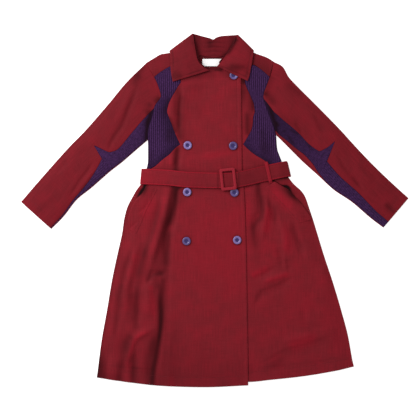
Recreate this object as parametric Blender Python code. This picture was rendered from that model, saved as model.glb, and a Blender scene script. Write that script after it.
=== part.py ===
"""Double-breasted belted coat with ribbed side panels, laid out flat on a surface.

Metres, +Z up from the surface, +Y from hem to collar, +X to the right of someone looking down on it.
Right and left in the names are the wearer's: the right front lies at -X and laps over the left one.
"""

import math
from collections import namedtuple

import bmesh
import bpy
import numpy as np
from mathutils import Matrix, Vector
from mathutils.bvhtree import BVHTree

# Cloth and clearances
CLOTH = 0.0016
RIB_BASE = 0.0014
RIB_HEIGHT = 0.0009
RIB_PITCH = 0.006
COLLAR_CLOTH = 0.0016
BELT_CLOTH = 0.0024
LABEL_CLOTH = 0.0008
GAP = 0.0003
SEAM = 0.00015
SHARP_ANGLE = math.radians(50.0)

# How the layers lie
AIR = 0.0040
EDGE_FADE = 0.050
FOLD_FADE = 0.025
LAP_RAMP = 0.014
LAP_FADE = 0.025
PRESS_DEPTH = 0.75
PRESS_REACH = 0.045

# Belt, its buckle and its loop
BELT_WIDTH = 0.047
BELT_RISE = 0.0007
BUCKLE_WIDTH = 0.047
BUCKLE_HEIGHT = 0.066
BUCKLE_BAR = 0.009
BUCKLE_THICK = 0.0038
BUCKLE_CORNER = 0.005
BUCKLE_INNER_CORNER = 0.0025
BUCKLE_SOFT = 0.0011
BUCKLE_PLACE = (0.040, 0.0935)
BUCKLE_TURN = math.radians(6.0)
LOOP_WIDTH = 0.010
LOOP_LENGTH = 0.066
LOOP_PLACE = (0.1605, 0.1130)
LOOP_TURN = math.radians(13.0)
LOOP_SEWN = (0.0, 0.06, 0.94, 1.0)
LOOP_OVER_BELT = (0.10, 0.30, 0.50, 0.70, 0.90)
LOOP_COAT_REACH = 0.003
LOOP_BELT_REACH = 0.004

# Buttons
BUTTON_RADIUS = 0.0125
BUTTON_SIDES = 16
BUTTON_SEAT = 0.01125
Button = namedtuple("Button", "name x y")
BUTTONS = (
    Button("button_left_neck", 0.057, 0.4045),
    Button("button_left_chest", 0.055, 0.1935),
    Button("button_left_hip", 0.059, 0.0538),
    Button("button_left_skirt", 0.067, -0.0885),
    Button("button_right_chest", -0.081, 0.1950),
    Button("button_right_hip", -0.0825, 0.0550),
    Button("button_right_skirt", -0.0845, -0.0915),
)
Profile = namedtuple("Profile", "radius height")
BUTTON_PROFILE = (
    Profile(0.0085, 0.0000),
    Profile(BUTTON_RADIUS, 0.0010),
    Profile(BUTTON_RADIUS, 0.0020),
    Profile(0.0108, 0.0030),
    Profile(0.0070, 0.0029),
    Profile(0.0055, 0.0016),
)

# Neck label, bare
LABEL_SIZE = (0.070, 0.022)
LABEL_PLACE = (-0.002, 0.4435)

# Side seams below the armholes, from armpit to hem
Sides = namedtuple("Sides", "y right left")
SIDE_SEAMS = (
    Sides(0.226, -0.2010, 0.184),
    Sides(0.187, -0.2000, 0.187),
    Sides(0.151, -0.2000, 0.199),
    Sides(0.118, -0.2060, 0.212),
    Sides(0.097, -0.2140, 0.2225),
    Sides(0.079, -0.2215, 0.237),
    Sides(0.061, -0.2345, 0.257),
    Sides(0.043, -0.2450, 0.270),
    Sides(0.007, -0.2630, 0.283),
    Sides(-0.029, -0.2720, 0.295),
    Sides(-0.065, -0.2770, 0.306),
    Sides(-0.137, -0.2930, 0.328),
    Sides(-0.209, -0.3080, 0.352),
    Sides(-0.299, -0.3230, 0.379),
    Sides(-0.389, -0.3390, 0.402),
    Sides(-0.499, -0.3535, 0.417),
)

# Armhole seams, from shoulder to armpit
Spot = namedtuple("Spot", "x y")
ARMHOLE_RIGHT = (
    Spot(-0.206, 0.442),
    Spot(-0.1815, 0.400),
    Spot(-0.1695, 0.373),
    Spot(-0.1615, 0.343),
    Spot(-0.1800, 0.313),
    Spot(-0.188, 0.280),
    Spot(-0.199, 0.241),
    Spot(-0.201, 0.211),
)
ARMHOLE_LEFT = (
    Spot(0.177, 0.446),
    Spot(0.165, 0.400),
    Spot(0.155, 0.373),
    Spot(0.1460, 0.343),
    Spot(0.154, 0.313),
    Spot(0.166, 0.280),
    Spot(0.180, 0.241),
    Spot(0.184, 0.226),
)

# Curved seams where the fronts meet the ribbed side panels
FRONT_SEAMS = (
    Sides(0.437, -0.1090, 0.1040),
    Sides(0.424, -0.1080, 0.1000),
    Sides(0.400, -0.1040, 0.0950),
    Sides(0.385, -0.1010, 0.0900),
    Sides(0.373, -0.1090, 0.0935),
    Sides(0.361, -0.1155, 0.0985),
    Sides(0.343, -0.1260, 0.1070),
    Sides(0.313, -0.1395, 0.1180),
    Sides(0.295, -0.1425, 0.1195),
    Sides(0.280, -0.1375, 0.1150),
    Sides(0.259, -0.1290, 0.1135),
    Sides(0.241, -0.1225, 0.1095),
    Sides(0.226, -0.1165, 0.1015),
    Sides(0.211, -0.1095, 0.0930),
    Sides(0.198, -0.1030, 0.0850),
    Sides(0.187, -0.1180, 0.0960),
    Sides(0.169, -0.1345, 0.1170),
    Sides(0.151, -0.1575, 0.1465),
    Sides(0.133, -0.1775, 0.1740),
    Sides(0.118, -0.2045, 0.2105),
)

# Slanting top edges of the side panels
PANEL_TOP_RIGHT = (Spot(-0.1815, 0.400), Spot(-0.1665, 0.412), Spot(-0.1480, 0.424), Spot(-0.134, 0.432))
PANEL_TOP_LEFT = (Spot(0.165, 0.400), Spot(0.137, 0.424), Spot(0.116, 0.437))

# Front edges: the shown edge of the right front and the hidden one of the left front
Edges = namedtuple("Edges", "y shown hidden")
FRONT_EDGES = (
    Edges(0.437, 0.079, -0.090),
    Edges(0.211, 0.081, -0.094),
    Edges(0.130, 0.082, -0.098),
    Edges(0.043, 0.089, -0.116),
    Edges(-0.120, 0.094, -0.122),
    Edges(-0.350, 0.098, -0.131),
    Edges(-0.530, 0.101, -0.136),
)

# Top and hem lines of the panels, across the coat
BACK_TOP = (
    Spot(-0.206, 0.442),
    Spot(-0.182, 0.457),
    Spot(-0.160, 0.469),
    Spot(-0.134, 0.473),
    Spot(-0.083, 0.484),
    Spot(-0.050, 0.471),
    Spot(-0.002, 0.4645),
    Spot(0.048, 0.471),
    Spot(0.079, 0.484),
    Spot(0.134, 0.467),
    Spot(0.158, 0.458),
    Spot(0.177, 0.446),
)
RIGHT_FRONT_TOP = (Spot(-0.108, 0.424), Spot(-0.040, 0.422), Spot(0.050, 0.421), Spot(0.082, 0.411))
LEFT_FRONT_TOP = (Spot(-0.090, 0.415), Spot(0.010, 0.415), Spot(0.045, 0.437), Spot(0.104, 0.437))
RIGHT_HEM = (
    Spot(-0.3535, -0.501),
    Spot(-0.245, -0.5165),
    Spot(-0.149, -0.526),
    Spot(-0.029, -0.529),
    Spot(0.101, -0.5235),
)
LEFT_HEM = (
    Spot(-0.136, -0.513),
    Spot(0.103, -0.5135),
    Spot(0.166, -0.5075),
    Spot(0.262, -0.4970),
    Spot(0.364, -0.4800),
    Spot(0.417, -0.4680),
)
BACK_HEM = (
    Spot(-0.3535, -0.498),
    Spot(-0.149, -0.520),
    Spot(0.000, -0.522),
    Spot(0.166, -0.504),
    Spot(0.417, -0.465),
)
TOP_REACH = 0.060
HEM_REACH = 0.120

TORSO_ROWS = (
    0.437, 0.424, 0.412, 0.400, 0.385, 0.373, 0.361, 0.343, 0.328, 0.313, 0.295,
    0.280, 0.259, 0.241, 0.226, 0.211, 0.198, 0.187, 0.169, 0.151, 0.133, 0.118,
)
SKIRT_ROWS = (
    0.100, 0.079, 0.061, 0.043, 0.020, -0.010, -0.045, -0.080, -0.115, -0.150,
    -0.190, -0.230, -0.270, -0.310, -0.350, -0.389, -0.430, -0.465, -0.499,
)
BACK_TORSO_ROWS = (
    0.442, 0.421, 0.400, 0.385, 0.373, 0.361, 0.343, 0.328, 0.313, 0.295, 0.280, 0.259, 0.241, 0.226, 0.211,
    0.198, 0.187,
)
BACK_SKIRT_ROWS = (0.043, -0.030, -0.120, -0.220, -0.320, -0.400, -0.450, -0.499)

# Columns of each panel, counted from the viewer's left
BACK_COLUMNS = 15
RIGHT_SKIRT_COLUMNS = 17
RIGHT_LAP_COLUMNS = 6
LEFT_LAP_COLUMNS = 4
LEFT_SKIRT_COLUMNS = 18
LAP_SPLIT_CLEAR = 0.003
SEAM_SPLIT_CLEAR = 0.004
PANEL_CLEAR = 0.0015
RIB_MARGIN = 0.3
RIB_FLOOR_COLUMNS = 5

# Shoulder yokes: cuts from the seam with the panels below to the shoulder line
Cut = namedtuple("Cut", "low_x low_y high_x high_y")
YOKE_RIGHT = (
    Cut(-0.1815, 0.4000, -0.206, 0.442),
    Cut(-0.1665, 0.4120, -0.191, 0.4514),
    Cut(-0.1480, 0.4240, -0.1745, 0.4611),
    Cut(-0.1340, 0.4320, -0.160, 0.469),
    Cut(-0.1080, 0.4320, -0.134, 0.473),
    Cut(-0.0800, 0.4235, -0.105, 0.479),
    Cut(-0.0580, 0.4230, -0.084, 0.483),
)
YOKE_LEFT = (
    Cut(0.1650, 0.4000, 0.177, 0.446),
    Cut(0.1370, 0.4240, 0.158, 0.458),
    Cut(0.1160, 0.4370, 0.134, 0.467),
    Cut(0.0950, 0.4370, 0.112, 0.474),
    Cut(0.0720, 0.4370, 0.095, 0.479),
    Cut(0.0480, 0.4370, 0.080, 0.483),
)
YOKE_STEPS = 4

# Sleeves: cuts from the overarm fold to the underarm fold
Arm = namedtuple("Arm", "along over_x over_y under_x under_y dome")
ARM_RIGHT = (
    Arm(0.00, -0.206, 0.442, -0.201, 0.211, 0.0045),
    Arm(0.15, -0.265, 0.384, -0.234, 0.183, 0.0070),
    Arm(0.30, -0.319, 0.319, -0.279, 0.144, 0.0070),
    Arm(0.45, -0.3916, 0.2359, -0.312, 0.1184, 0.0070),
    Arm(0.60, -0.431, 0.196, -0.371, 0.067, 0.0065),
    Arm(0.75, -0.488, 0.133, -0.413, 0.033, 0.0060),
    Arm(0.90, -0.544, 0.069, -0.455, -0.020, 0.0050),
    Arm(1.00, -0.581, 0.0258, -0.4905, -0.0555, 0.0045),
)
ARM_LEFT = (
    Arm(0.00, 0.177, 0.446, 0.184, 0.226, 0.0045),
    Arm(0.05, 0.203, 0.432, 0.196, 0.214, 0.0055),
    Arm(0.10, 0.222, 0.400, 0.208, 0.202, 0.0065),
    Arm(0.15, 0.247, 0.373, 0.221, 0.189, 0.0070),
    Arm(0.30, 0.304, 0.316, 0.265, 0.145, 0.0070),
    Arm(0.475, 0.377, 0.2412, 0.314, 0.1012, 0.0070),
    Arm(0.60, 0.418, 0.196, 0.358, 0.061, 0.0065),
    Arm(0.75, 0.478, 0.133, 0.409, 0.027, 0.0060),
    Arm(0.90, 0.539, 0.075, 0.469, -0.024, 0.0050),
    Arm(1.00, 0.581, 0.0370, 0.5055, -0.0515, 0.0045),
)

# Ribbed gussets of the sleeves: the shares of each cut they lie between, with a spike into the upper sleeve
Gusset = namedtuple("Gusset", "along top bottom")
GUSSET_RIGHT = (
    Gusset(0.000, 0.590, 1.00),
    Gusset(0.050, 0.634, 1.00),
    Gusset(0.100, 0.670, 1.00),
    Gusset(0.150, 0.704, 1.00),
    Gusset(0.300, 0.765, 1.00),
    Gusset(0.375, 0.70, 1.00),
    Gusset(0.447, 0.36, 1.00),
    Gusset(0.453, 0.687, 1.00),
    Gusset(0.600, 0.86, 1.00),
    Gusset(0.750, 0.935, 1.00),
    Gusset(1.000, 0.968, 1.00),
)
GUSSET_LEFT = (
    Gusset(0.000, 0.505, 0.9318),
    Gusset(0.050, 0.645, 0.945),
    Gusset(0.100, 0.642, 0.93),
    Gusset(0.150, 0.643, 0.92),
    Gusset(0.220, 0.645, 0.905),
    Gusset(0.300, 0.662, 0.880),
    Gusset(0.395, 0.63, 0.905),
    Gusset(0.440, 0.47, 0.945),
    Gusset(0.472, 0.255, 0.965),
    Gusset(0.478, 0.66, 0.967),
    Gusset(0.560, 0.69, 1.00),
    Gusset(0.750, 0.73, 1.00),
    Gusset(0.900, 0.78, 1.00),
    Gusset(1.000, 0.80, 1.00),
)
ARM_STEPS = (0.05, 0.10, 0.15, 0.22, 0.30, 0.37, 0.52, 0.60, 0.68, 0.75, 0.83, 0.90, 1.00)
ARMHOLE_REACH = 0.28
SLEEVE_LIP = 0.0016
SLEEVE_LIP_STEPS = 3

# Collar fall: cuts from the roll line to the outer edge, right point round the back of the neck to left point
Fall = namedtuple("Fall", "roll_x roll_y roll_z edge_x edge_y edge_z")
COLLAR_FALL = (
    Fall(-0.0165, 0.4185, 0.0150, -0.1260, 0.3850, 0.0120),
    Fall(-0.0450, 0.4395, 0.0162, -0.1305, 0.4100, 0.0112),
    Fall(-0.0525, 0.4540, 0.0172, -0.1325, 0.4300, 0.0106),
    Fall(-0.0570, 0.4780, 0.0182, -0.1325, 0.4500, 0.0102),
    Fall(-0.0610, 0.5020, 0.0186, -0.1335, 0.4640, 0.0096),
    Fall(-0.0635, 0.5190, 0.0186, -0.1345, 0.4720, 0.0086),
    Fall(-0.0650, 0.5270, 0.0180, -0.1358, 0.4762, 0.0070),
    Fall(-0.0655, 0.5288, 0.0160, -0.1362, 0.4778, 0.0045),
    Fall(-0.0640, 0.5284, 0.0140, -0.1345, 0.4776, 0.0020),
    Fall(-0.0550, 0.5262, 0.0130, -0.1200, 0.4832, 0.0010),
    Fall(-0.0350, 0.5206, 0.0126, -0.0860, 0.4905, 0.0010),
    Fall(-0.0140, 0.5152, 0.0122, -0.0400, 0.4740, 0.0010),
    Fall(-0.0045, 0.5118, 0.0120, -0.0020, 0.4700, 0.0010),
    Fall(0.0040, 0.5172, 0.0122, 0.0300, 0.4720, 0.0010),
    Fall(0.0190, 0.5216, 0.0126, 0.0600, 0.4850, 0.0010),
    Fall(0.0430, 0.5236, 0.0130, 0.0830, 0.4915, 0.0010),
    Fall(0.0600, 0.5245, 0.0134, 0.1030, 0.4860, 0.0010),
    Fall(0.0670, 0.5252, 0.0142, 0.1140, 0.4812, 0.0020),
    Fall(0.0690, 0.5246, 0.0162, 0.1170, 0.4796, 0.0045),
    Fall(0.0682, 0.5215, 0.0180, 0.1172, 0.4778, 0.0074),
    Fall(0.0650, 0.5140, 0.0186, 0.1165, 0.4722, 0.0092),
    Fall(0.0590, 0.5000, 0.0186, 0.1145, 0.4600, 0.0096),
    Fall(0.0460, 0.4820, 0.0182, 0.1120, 0.4450, 0.0102),
    Fall(0.0280, 0.4570, 0.0172, 0.1080, 0.4250, 0.0106),
    Fall(0.0150, 0.4400, 0.0164, 0.1045, 0.4050, 0.0118),
    Fall(0.0055, 0.4300, 0.0156, 0.0985, 0.3870, 0.0128),
)
FALL_STEPS = 5

# Collar stand: cuts from the roll line down to the neck seam
Stand = namedtuple("Stand", "roll_x roll_y roll_z seam_x seam_y seam_z")
COLLAR_STAND = (
    Stand(-0.0270, 0.4275, 0.0128, -0.0215, 0.4250, 0.0105),
    Stand(-0.0450, 0.4425, 0.0138, -0.0430, 0.4385, 0.0060),
    Stand(-0.0530, 0.4570, 0.0148, -0.0480, 0.4515, 0.0044),
    Stand(-0.0565, 0.4780, 0.0156, -0.0480, 0.4600, 0.0032),
    Stand(-0.0595, 0.5000, 0.0160, -0.0460, 0.4640, 0.0030),
    Stand(-0.0600, 0.5160, 0.0160, -0.0430, 0.4650, 0.0030),
    Stand(-0.0570, 0.5225, 0.0158, -0.0370, 0.4640, 0.0030),
    Stand(-0.0350, 0.5180, 0.0154, -0.0230, 0.4610, 0.0030),
    Stand(-0.0140, 0.5126, 0.0150, -0.0080, 0.4590, 0.0030),
    Stand(-0.0045, 0.5092, 0.0148, -0.0030, 0.4585, 0.0030),
    Stand(0.0040, 0.5146, 0.0150, 0.0020, 0.4585, 0.0030),
    Stand(0.0190, 0.5190, 0.0154, 0.0120, 0.4600, 0.0030),
    Stand(0.0430, 0.5210, 0.0157, 0.0260, 0.4620, 0.0030),
    Stand(0.0580, 0.5210, 0.0158, 0.0350, 0.4640, 0.0030),
    Stand(0.0630, 0.5160, 0.0160, 0.0390, 0.4650, 0.0030),
    Stand(0.0580, 0.5010, 0.0160, 0.0390, 0.4640, 0.0030),
    Stand(0.0450, 0.4830, 0.0156, 0.0375, 0.4590, 0.0032),
    Stand(0.0270, 0.4590, 0.0148, 0.0255, 0.4495, 0.0048),
    Stand(0.0140, 0.4430, 0.0138, 0.0135, 0.4350, 0.0060),
    Stand(0.0170, 0.4270, 0.0128, 0.0130, 0.4245, 0.0105),
)
STAND_STEPS = 3

# Centre line of the belt across the front with the lean of its width, and its straight run under the back
Band = namedtuple("Band", "x y lean")
BELT_LINE = (
    Band(-0.2195, 0.1020, 0.10),
    Band(-0.1500, 0.0990, 0.05),
    Band(-0.0740, 0.0920, 0.05),
    Band(0.0430, 0.0895, -0.04),
    Band(0.0910, 0.0970, -0.14),
    Band(0.1420, 0.1090, -0.22),
    Band(0.2185, 0.1255, -0.24),
)
BELT_STATIONS = 19
BELT_WAYS = (-1.0, -0.5, 0.0, 0.5, 1.0)
BELT_REACH = 0.003
BELT_TURN_STEPS = 4
BELT_BACK_MID = 0.1125
BELT_BACK_SLOPE = 0.049
BELT_RAMP = 0.012
FRONT_CLEAR = 0.012

# Slant pockets: rungs from the mouth edge of each welt to its inner edge, from top to bottom
Rung = namedtuple("Rung", "mouth_x mouth_y inner_x inner_y")
WELTS = {
    "pocket_welt_left": (
        Rung(0.1800, 0.0870, 0.148, 0.066),
        Rung(0.2020, 0.0735, 0.164, 0.049),
        Rung(0.2350, 0.0465, 0.190, 0.023),
        Rung(0.2710, 0.0045, 0.226, -0.014),
        Rung(0.2926, -0.0260, 0.252, -0.038),
    ),
    "pocket_welt_right": (
        Rung(-0.2060, 0.0740, -0.172, 0.064),
        Rung(-0.2170, 0.0520, -0.184, 0.041),
        Rung(-0.2360, 0.0330, -0.196, 0.019),
        Rung(-0.2530, 0.0010, -0.212, -0.016),
        Rung(-0.2660, -0.0500, -0.236, -0.070),
    ),
}
WELT_CLOTH = 0.0014
WELT_STEPS = 3
WELT_ACROSS = 4
WELT_REACH = 0.006

# Largest folds of the top layer: soft ridges, and troughs with a minus height
Fold = namedtuple("Fold", "x0 y0 x1 y1 width height")
FOLDS = (
    Fold(-0.138, 0.070, -0.172, -0.048, 0.017, 0.0070),
    Fold(-0.172, -0.048, -0.206, -0.190, 0.018, 0.0065),
    Fold(-0.117, 0.065, -0.130, -0.004, 0.012, -0.0042),
    Fold(-0.130, -0.004, -0.164, -0.146, 0.012, -0.0042),
    Fold(-0.197, -0.215, -0.198, -0.320, 0.018, 0.0045),
    Fold(-0.156, -0.225, -0.165, -0.380, 0.013, -0.0042),
    Fold(-0.168, -0.408, -0.185, -0.510, 0.014, -0.0042),
    Fold(-0.190, -0.350, -0.245, -0.392, 0.015, 0.0045),
    Fold(-0.245, -0.392, -0.272, -0.480, 0.015, 0.0045),
    Fold(-0.237, -0.250, -0.235, -0.345, 0.014, -0.0035),
    Fold(-0.228, -0.095, -0.268, -0.330, 0.016, 0.0035),
    Fold(0.132, 0.075, 0.136, 0.000, 0.013, -0.0038),
    Fold(0.136, 0.000, 0.116, -0.065, 0.013, -0.0038),
    Fold(0.152, 0.050, 0.146, -0.085, 0.014, 0.0040),
    Fold(0.164, 0.030, 0.182, -0.042, 0.013, -0.0034),
    Fold(0.198, -0.030, 0.213, -0.125, 0.016, 0.0036),
    Fold(0.231, -0.045, 0.262, -0.135, 0.013, -0.0034),
    Fold(0.216, -0.190, 0.146, -0.216, 0.014, 0.0038),
    Fold(0.236, -0.200, 0.145, -0.246, 0.013, -0.0032),
    Fold(0.335, -0.380, 0.140, -0.456, 0.016, -0.0032),
    Fold(0.310, -0.150, 0.348, -0.265, 0.022, 0.0034),
    Fold(-0.240, 0.352, -0.281, 0.253, 0.011, -0.0034),
    Fold(-0.281, 0.253, -0.306, 0.228, 0.011, -0.0030),
    Fold(-0.262, 0.352, -0.298, 0.278, 0.013, 0.0022),
    Fold(-0.360, 0.144, -0.440, 0.032, 0.012, -0.0030),
    Fold(0.368, 0.165, 0.450, 0.055, 0.012, -0.0032),
    Fold(0.440, 0.129, 0.490, 0.095, 0.012, -0.0022),
)

COLOURS = {
    "shell": (0.205, 0.014, 0.022),
    "rib": (0.042, 0.016, 0.056),
    "label": (0.80, 0.80, 0.79),
    "button": (0.20, 0.13, 0.36),
    "buckle": (0.240, 0.020, 0.030),
}
ROUGHNESS = {"shell": 0.62, "rib": 0.80, "label": 0.70, "button": 0.30, "buckle": 0.55}


def smooth(share):
    """Eases a share from 0 to 1."""
    share = min(1.0, max(0.0, share))
    return share * share * (3.0 - 2.0 * share)


def column(table, place, value):
    """Straight-line reading of one column of a table over another."""
    places = [getattr(row, place) for row in table]
    values = [getattr(row, value) for row in table]
    if places[0] > places[-1]:
        places.reverse()
        values.reverse()
    return lambda at: float(np.interp(at, places, values))


def joined(low, high, split):
    """Reads low below the split station and high above it."""
    return lambda at: high(at) if at > split else low(at)


side_right = column(SIDE_SEAMS, "y", "right")
side_left = column(SIDE_SEAMS, "y", "left")
seam_right = column(FRONT_SEAMS, "y", "right")
seam_left = column(FRONT_SEAMS, "y", "left")
edge_shown = column(FRONT_EDGES, "y", "shown")
edge_hidden = column(FRONT_EDGES, "y", "hidden")
body_right = joined(side_right, column(ARMHOLE_RIGHT, "y", "x"), ARMHOLE_RIGHT[-1].y)
body_left = joined(side_left, column(ARMHOLE_LEFT, "y", "x"), ARMHOLE_LEFT[-1].y)
WAIST_SEAM = FRONT_SEAMS[-1].y
PANEL_END = WAIST_SEAM + PANEL_CLEAR


def fold_height(x, y):
    """Sum of the soft ridges and troughs at a point."""
    total = 0.0
    for fold in FOLDS:
        run = (fold.x1 - fold.x0, fold.y1 - fold.y0)
        length = math.hypot(*run)
        along = ((x - fold.x0) * run[0] + (y - fold.y0) * run[1]) / length
        off = abs((x - fold.x0) * run[1] - (y - fold.y0) * run[0]) / length
        past = max(0.0, -along, along - length)
        total += fold.height * math.exp(-((off / fold.width) ** 2) - (past / (2 * fold.width)) ** 2)
    return total


def belt_rise(x, y, clear=0.0):
    """How far the belt's run under the back lifts the cloth above it."""
    off = abs(y - BELT_BACK_MID - BELT_BACK_SLOPE * x) - BELT_WIDTH / 2 - GAP - clear
    share = 1.0 - off / (BELT_RAMP + clear)
    return (BELT_CLOTH + GAP) * min(1.0, max(0.0, share))


belt_line = column(BELT_LINE, "x", "y")
belt_lean = column(BELT_LINE, "x", "lean")


def lift(x, y):
    """Air and folds between the back and the front layer, pressed down by the belt."""
    inside = min(x - side_right(y), side_left(y) - x) if y < SIDE_SEAMS[0].y else EDGE_FADE
    air = AIR * smooth(inside / EDGE_FADE)
    pressed = 1.0 - PRESS_DEPTH * math.exp(-(((y - belt_line(x)) / PRESS_REACH) ** 2))
    edge = smooth(inside / FOLD_FADE)
    beside = smooth(max(edge_hidden(y) - x, x - edge_shown(y)) / LAP_FADE)
    return max(0.0, (air + edge * beside * fold_height(x, y)) * pressed)


def front_under(x, y):
    """Underside of the front layer."""
    return CLOTH + belt_rise(x, y, FRONT_CLEAR) + GAP + lift(x, y)


def right_front_under(x, y):
    """Underside of the right front, raised where it laps over the left one."""
    ramp = (x - edge_hidden(y) + LAP_RAMP) / (LAP_RAMP - 2 * GAP)
    return front_under(x, y) + (CLOTH + GAP) * smooth(ramp)


def make_material(name):
    material = bpy.data.materials.new(name)
    material.use_nodes = True
    shader = material.node_tree.nodes["Principled BSDF"]
    shader.inputs["Base Color"].default_value = (*COLOURS[name], 1.0)
    shader.inputs["Roughness"].default_value = ROUGHNESS[name]
    shader.inputs["Metallic"].default_value = 0.0
    return material


def add_object(name, mesh_data, finish):
    """Links a mesh under the coat's empty with its material."""
    mesh = bpy.data.meshes.new(name)
    mesh_data.normal_update()
    mesh_data.to_mesh(mesh)
    mesh_data.free()
    mesh.materials.append(bpy.data.materials[finish])
    mesh.shade_smooth()
    mesh.set_sharp_from_angle(angle=SHARP_ANGLE)
    made = bpy.data.objects.new(name, mesh)
    made.parent = bpy.data.objects["coat"]
    bpy.context.scene.collection.objects.link(made)
    return made


def fill_band(mesh, first, second):
    """Fills between two runs of (place, vertex): a quad where places match, else a triangle."""
    i = j = 0
    while i + 1 < len(first) or j + 1 < len(second):
        place_i = first[i + 1][0] if i + 1 < len(first) else math.inf
        place_j = second[j + 1][0] if j + 1 < len(second) else math.inf
        if abs(place_i - place_j) < 1e-7:
            mesh.faces.new((first[i][1], first[i + 1][1], second[j + 1][1], second[j][1]))
            i += 1
            j += 1
        elif place_i < place_j:
            mesh.faces.new((first[i][1], first[i + 1][1], second[j][1]))
            i += 1
        else:
            mesh.faces.new((first[i][1], second[j + 1][1], second[j][1]))
            j += 1


def wall(name, tops, unders, finish):
    """Closed wall between two sets of rows of (place, point); the rows of both sets share their ends."""
    mesh = bmesh.new()
    upper = [[(place, mesh.verts.new(point)) for place, point in row] for row in tops]
    lower = [[(place, mesh.verts.new(point)) for place, point in row] for row in unders]
    for rows in (upper, lower):
        for first, second in zip(rows, rows[1:]):
            fill_band(mesh, first, second)
    for end in (0, -1):
        fill_band(mesh, upper[end], lower[end])
        for i in range(len(upper) - 1):
            ring = (upper[i], upper[i + 1], lower[i + 1], lower[i])
            mesh.faces.new([row[end][1] for row in ring])
    bmesh.ops.recalc_face_normals(mesh, faces=mesh.faces[:])
    return add_object(name, mesh, finish)


def draped(name, plan, under, finish, thick=CLOTH):
    """Wall over a plan of rows of (place, x, y), lying at the height that under gives."""
    unders = [[(place, (x, y, under(x, y))) for place, x, y in row] for row in plan]
    tops = [[(place, (x, y, z + thick)) for place, (x, y, z) in row] for row in unders]
    return wall(name, tops, unders, finish)


def level(line):
    """Reads a top or hem line across the coat."""
    return column(line, "x", "y")


def plan_rows(rows, shares, left_end, right_end, top, hem):
    """Rows across a panel between its two ends, bent near the top and the hem to follow those lines."""
    plan = []
    for station in rows:
        to_top = max(0.0, 1.0 - (rows[0] - station) / TOP_REACH) ** 2
        to_hem = max(0.0, 1.0 - (station - rows[-1]) / HEM_REACH) ** 2
        start, end = left_end(station), right_end(station)
        row = []
        for place, share in enumerate(shares):
            x = start + (end - start) * share
            y = station + to_top * (top(x) - rows[0]) + to_hem * (hem(x) - rows[-1])
            row.append((place, x, y))
        plan.append(row)
    return plan


def spaced(count):
    return [i / (count - 1) for i in range(count)]


def make_back():
    """Whole back, flat on the surface but for where it rides over the belt."""
    half = BELT_WIDTH / 2 + GAP
    waist = [BELT_BACK_MID + d for d in (half + BELT_RAMP, half, -half, -half - BELT_RAMP)]
    rows = [*BACK_TORSO_ROWS, *waist, *BACK_SKIRT_ROWS]
    shares = spaced(BACK_COLUMNS)
    plan = plan_rows(rows, shares, body_right, body_left, level(BACK_TOP), level(BACK_HEM))
    for station, row in zip(rows, plan):
        if station not in waist:
            continue
        for i, (place, x, y) in enumerate(row):
            tilted = y + BELT_BACK_SLOPE * x
            if i in (0, len(row) - 1):
                x = (body_right, body_left)[i > 0](tilted)
            row[i] = (place, x, tilted)
    draped("back", plan, belt_rise, "shell")


def front_outline(seam, side, inward):
    """Outer end of a front: its seam with the ribbed panel, then the side seam."""
    return lambda y: (seam(y) if y >= WAIST_SEAM else side(y)) + inward * SEAM


def make_right_front():
    """Overlapping front, from the curved seam to the shown edge."""
    rows = TORSO_ROWS[1:] + SKIRT_ROWS
    outer = front_outline(seam_right, side_right, 1)

    def split(y):
        return max(edge_hidden(y) - GAP, outer(y) + SEAM_SPLIT_CLEAR)

    lines = level(RIGHT_FRONT_TOP), level(RIGHT_HEM)
    skirt = plan_rows(rows, spaced(RIGHT_SKIRT_COLUMNS), outer, split, *lines)
    middle = plan_rows(rows, spaced(RIGHT_LAP_COLUMNS), split, edge_shown, *lines)
    plan = [
        [*first, *((place + len(first), x, y) for place, x, y in second[1:])]
        for first, second in zip(skirt, middle)
    ]
    draped("front_right", plan, right_front_under, "shell")


def make_left_front():
    """Underlapping front, from its hidden edge to the curved seam."""
    rows = TORSO_ROWS + SKIRT_ROWS
    outer = front_outline(seam_left, side_left, -1)

    def split(y):
        return min(edge_shown(y) + LAP_SPLIT_CLEAR, outer(y) - SEAM_SPLIT_CLEAR)

    lines = level(LEFT_FRONT_TOP), level(LEFT_HEM)
    middle = plan_rows(rows, spaced(LEFT_LAP_COLUMNS), edge_hidden, split, *lines)
    skirt = plan_rows(rows, spaced(LEFT_SKIRT_COLUMNS), split, outer, *lines)
    plan = [
        [*first, *((place + len(first), x, y) for place, x, y in second[1:])]
        for first, second in zip(middle, skirt)
    ]
    draped("front_left", plan, front_under, "shell")


def rib_height(x):
    """Ribs run straight down the cloth: a ridge at every other half pitch."""
    return RIB_HEIGHT if round(x / (RIB_PITCH / 2)) % 2 == 0 else 0.0


def make_side_panel(name, rows, low_end, high_end):
    """Ribbed panel between two curved seams, with its ribs cut through by them."""
    half = RIB_PITCH / 2
    tops, unders = [], []
    for y in rows:
        start, end = low_end(y), high_end(y)
        first, last = math.ceil(start / half + RIB_MARGIN), math.floor(end / half - RIB_MARGIN)
        inner = [k * half for k in range(first, last + 1)]
        floor_run = [start + (end - start) * share for share in spaced(RIB_FLOOR_COLUMNS)]
        unders.append([(x, (x, y, front_under(x, y))) for x in floor_run])
        ends = [(x, (x, y, front_under(x, y) + RIB_BASE)) for x in (start, end)]
        ribs = [(x, (x, y, front_under(x, y) + RIB_BASE + rib_height(x))) for x in inner]
        tops.append([ends[0], *ribs, ends[1]])
    wall(name, tops, unders, "rib")


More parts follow.
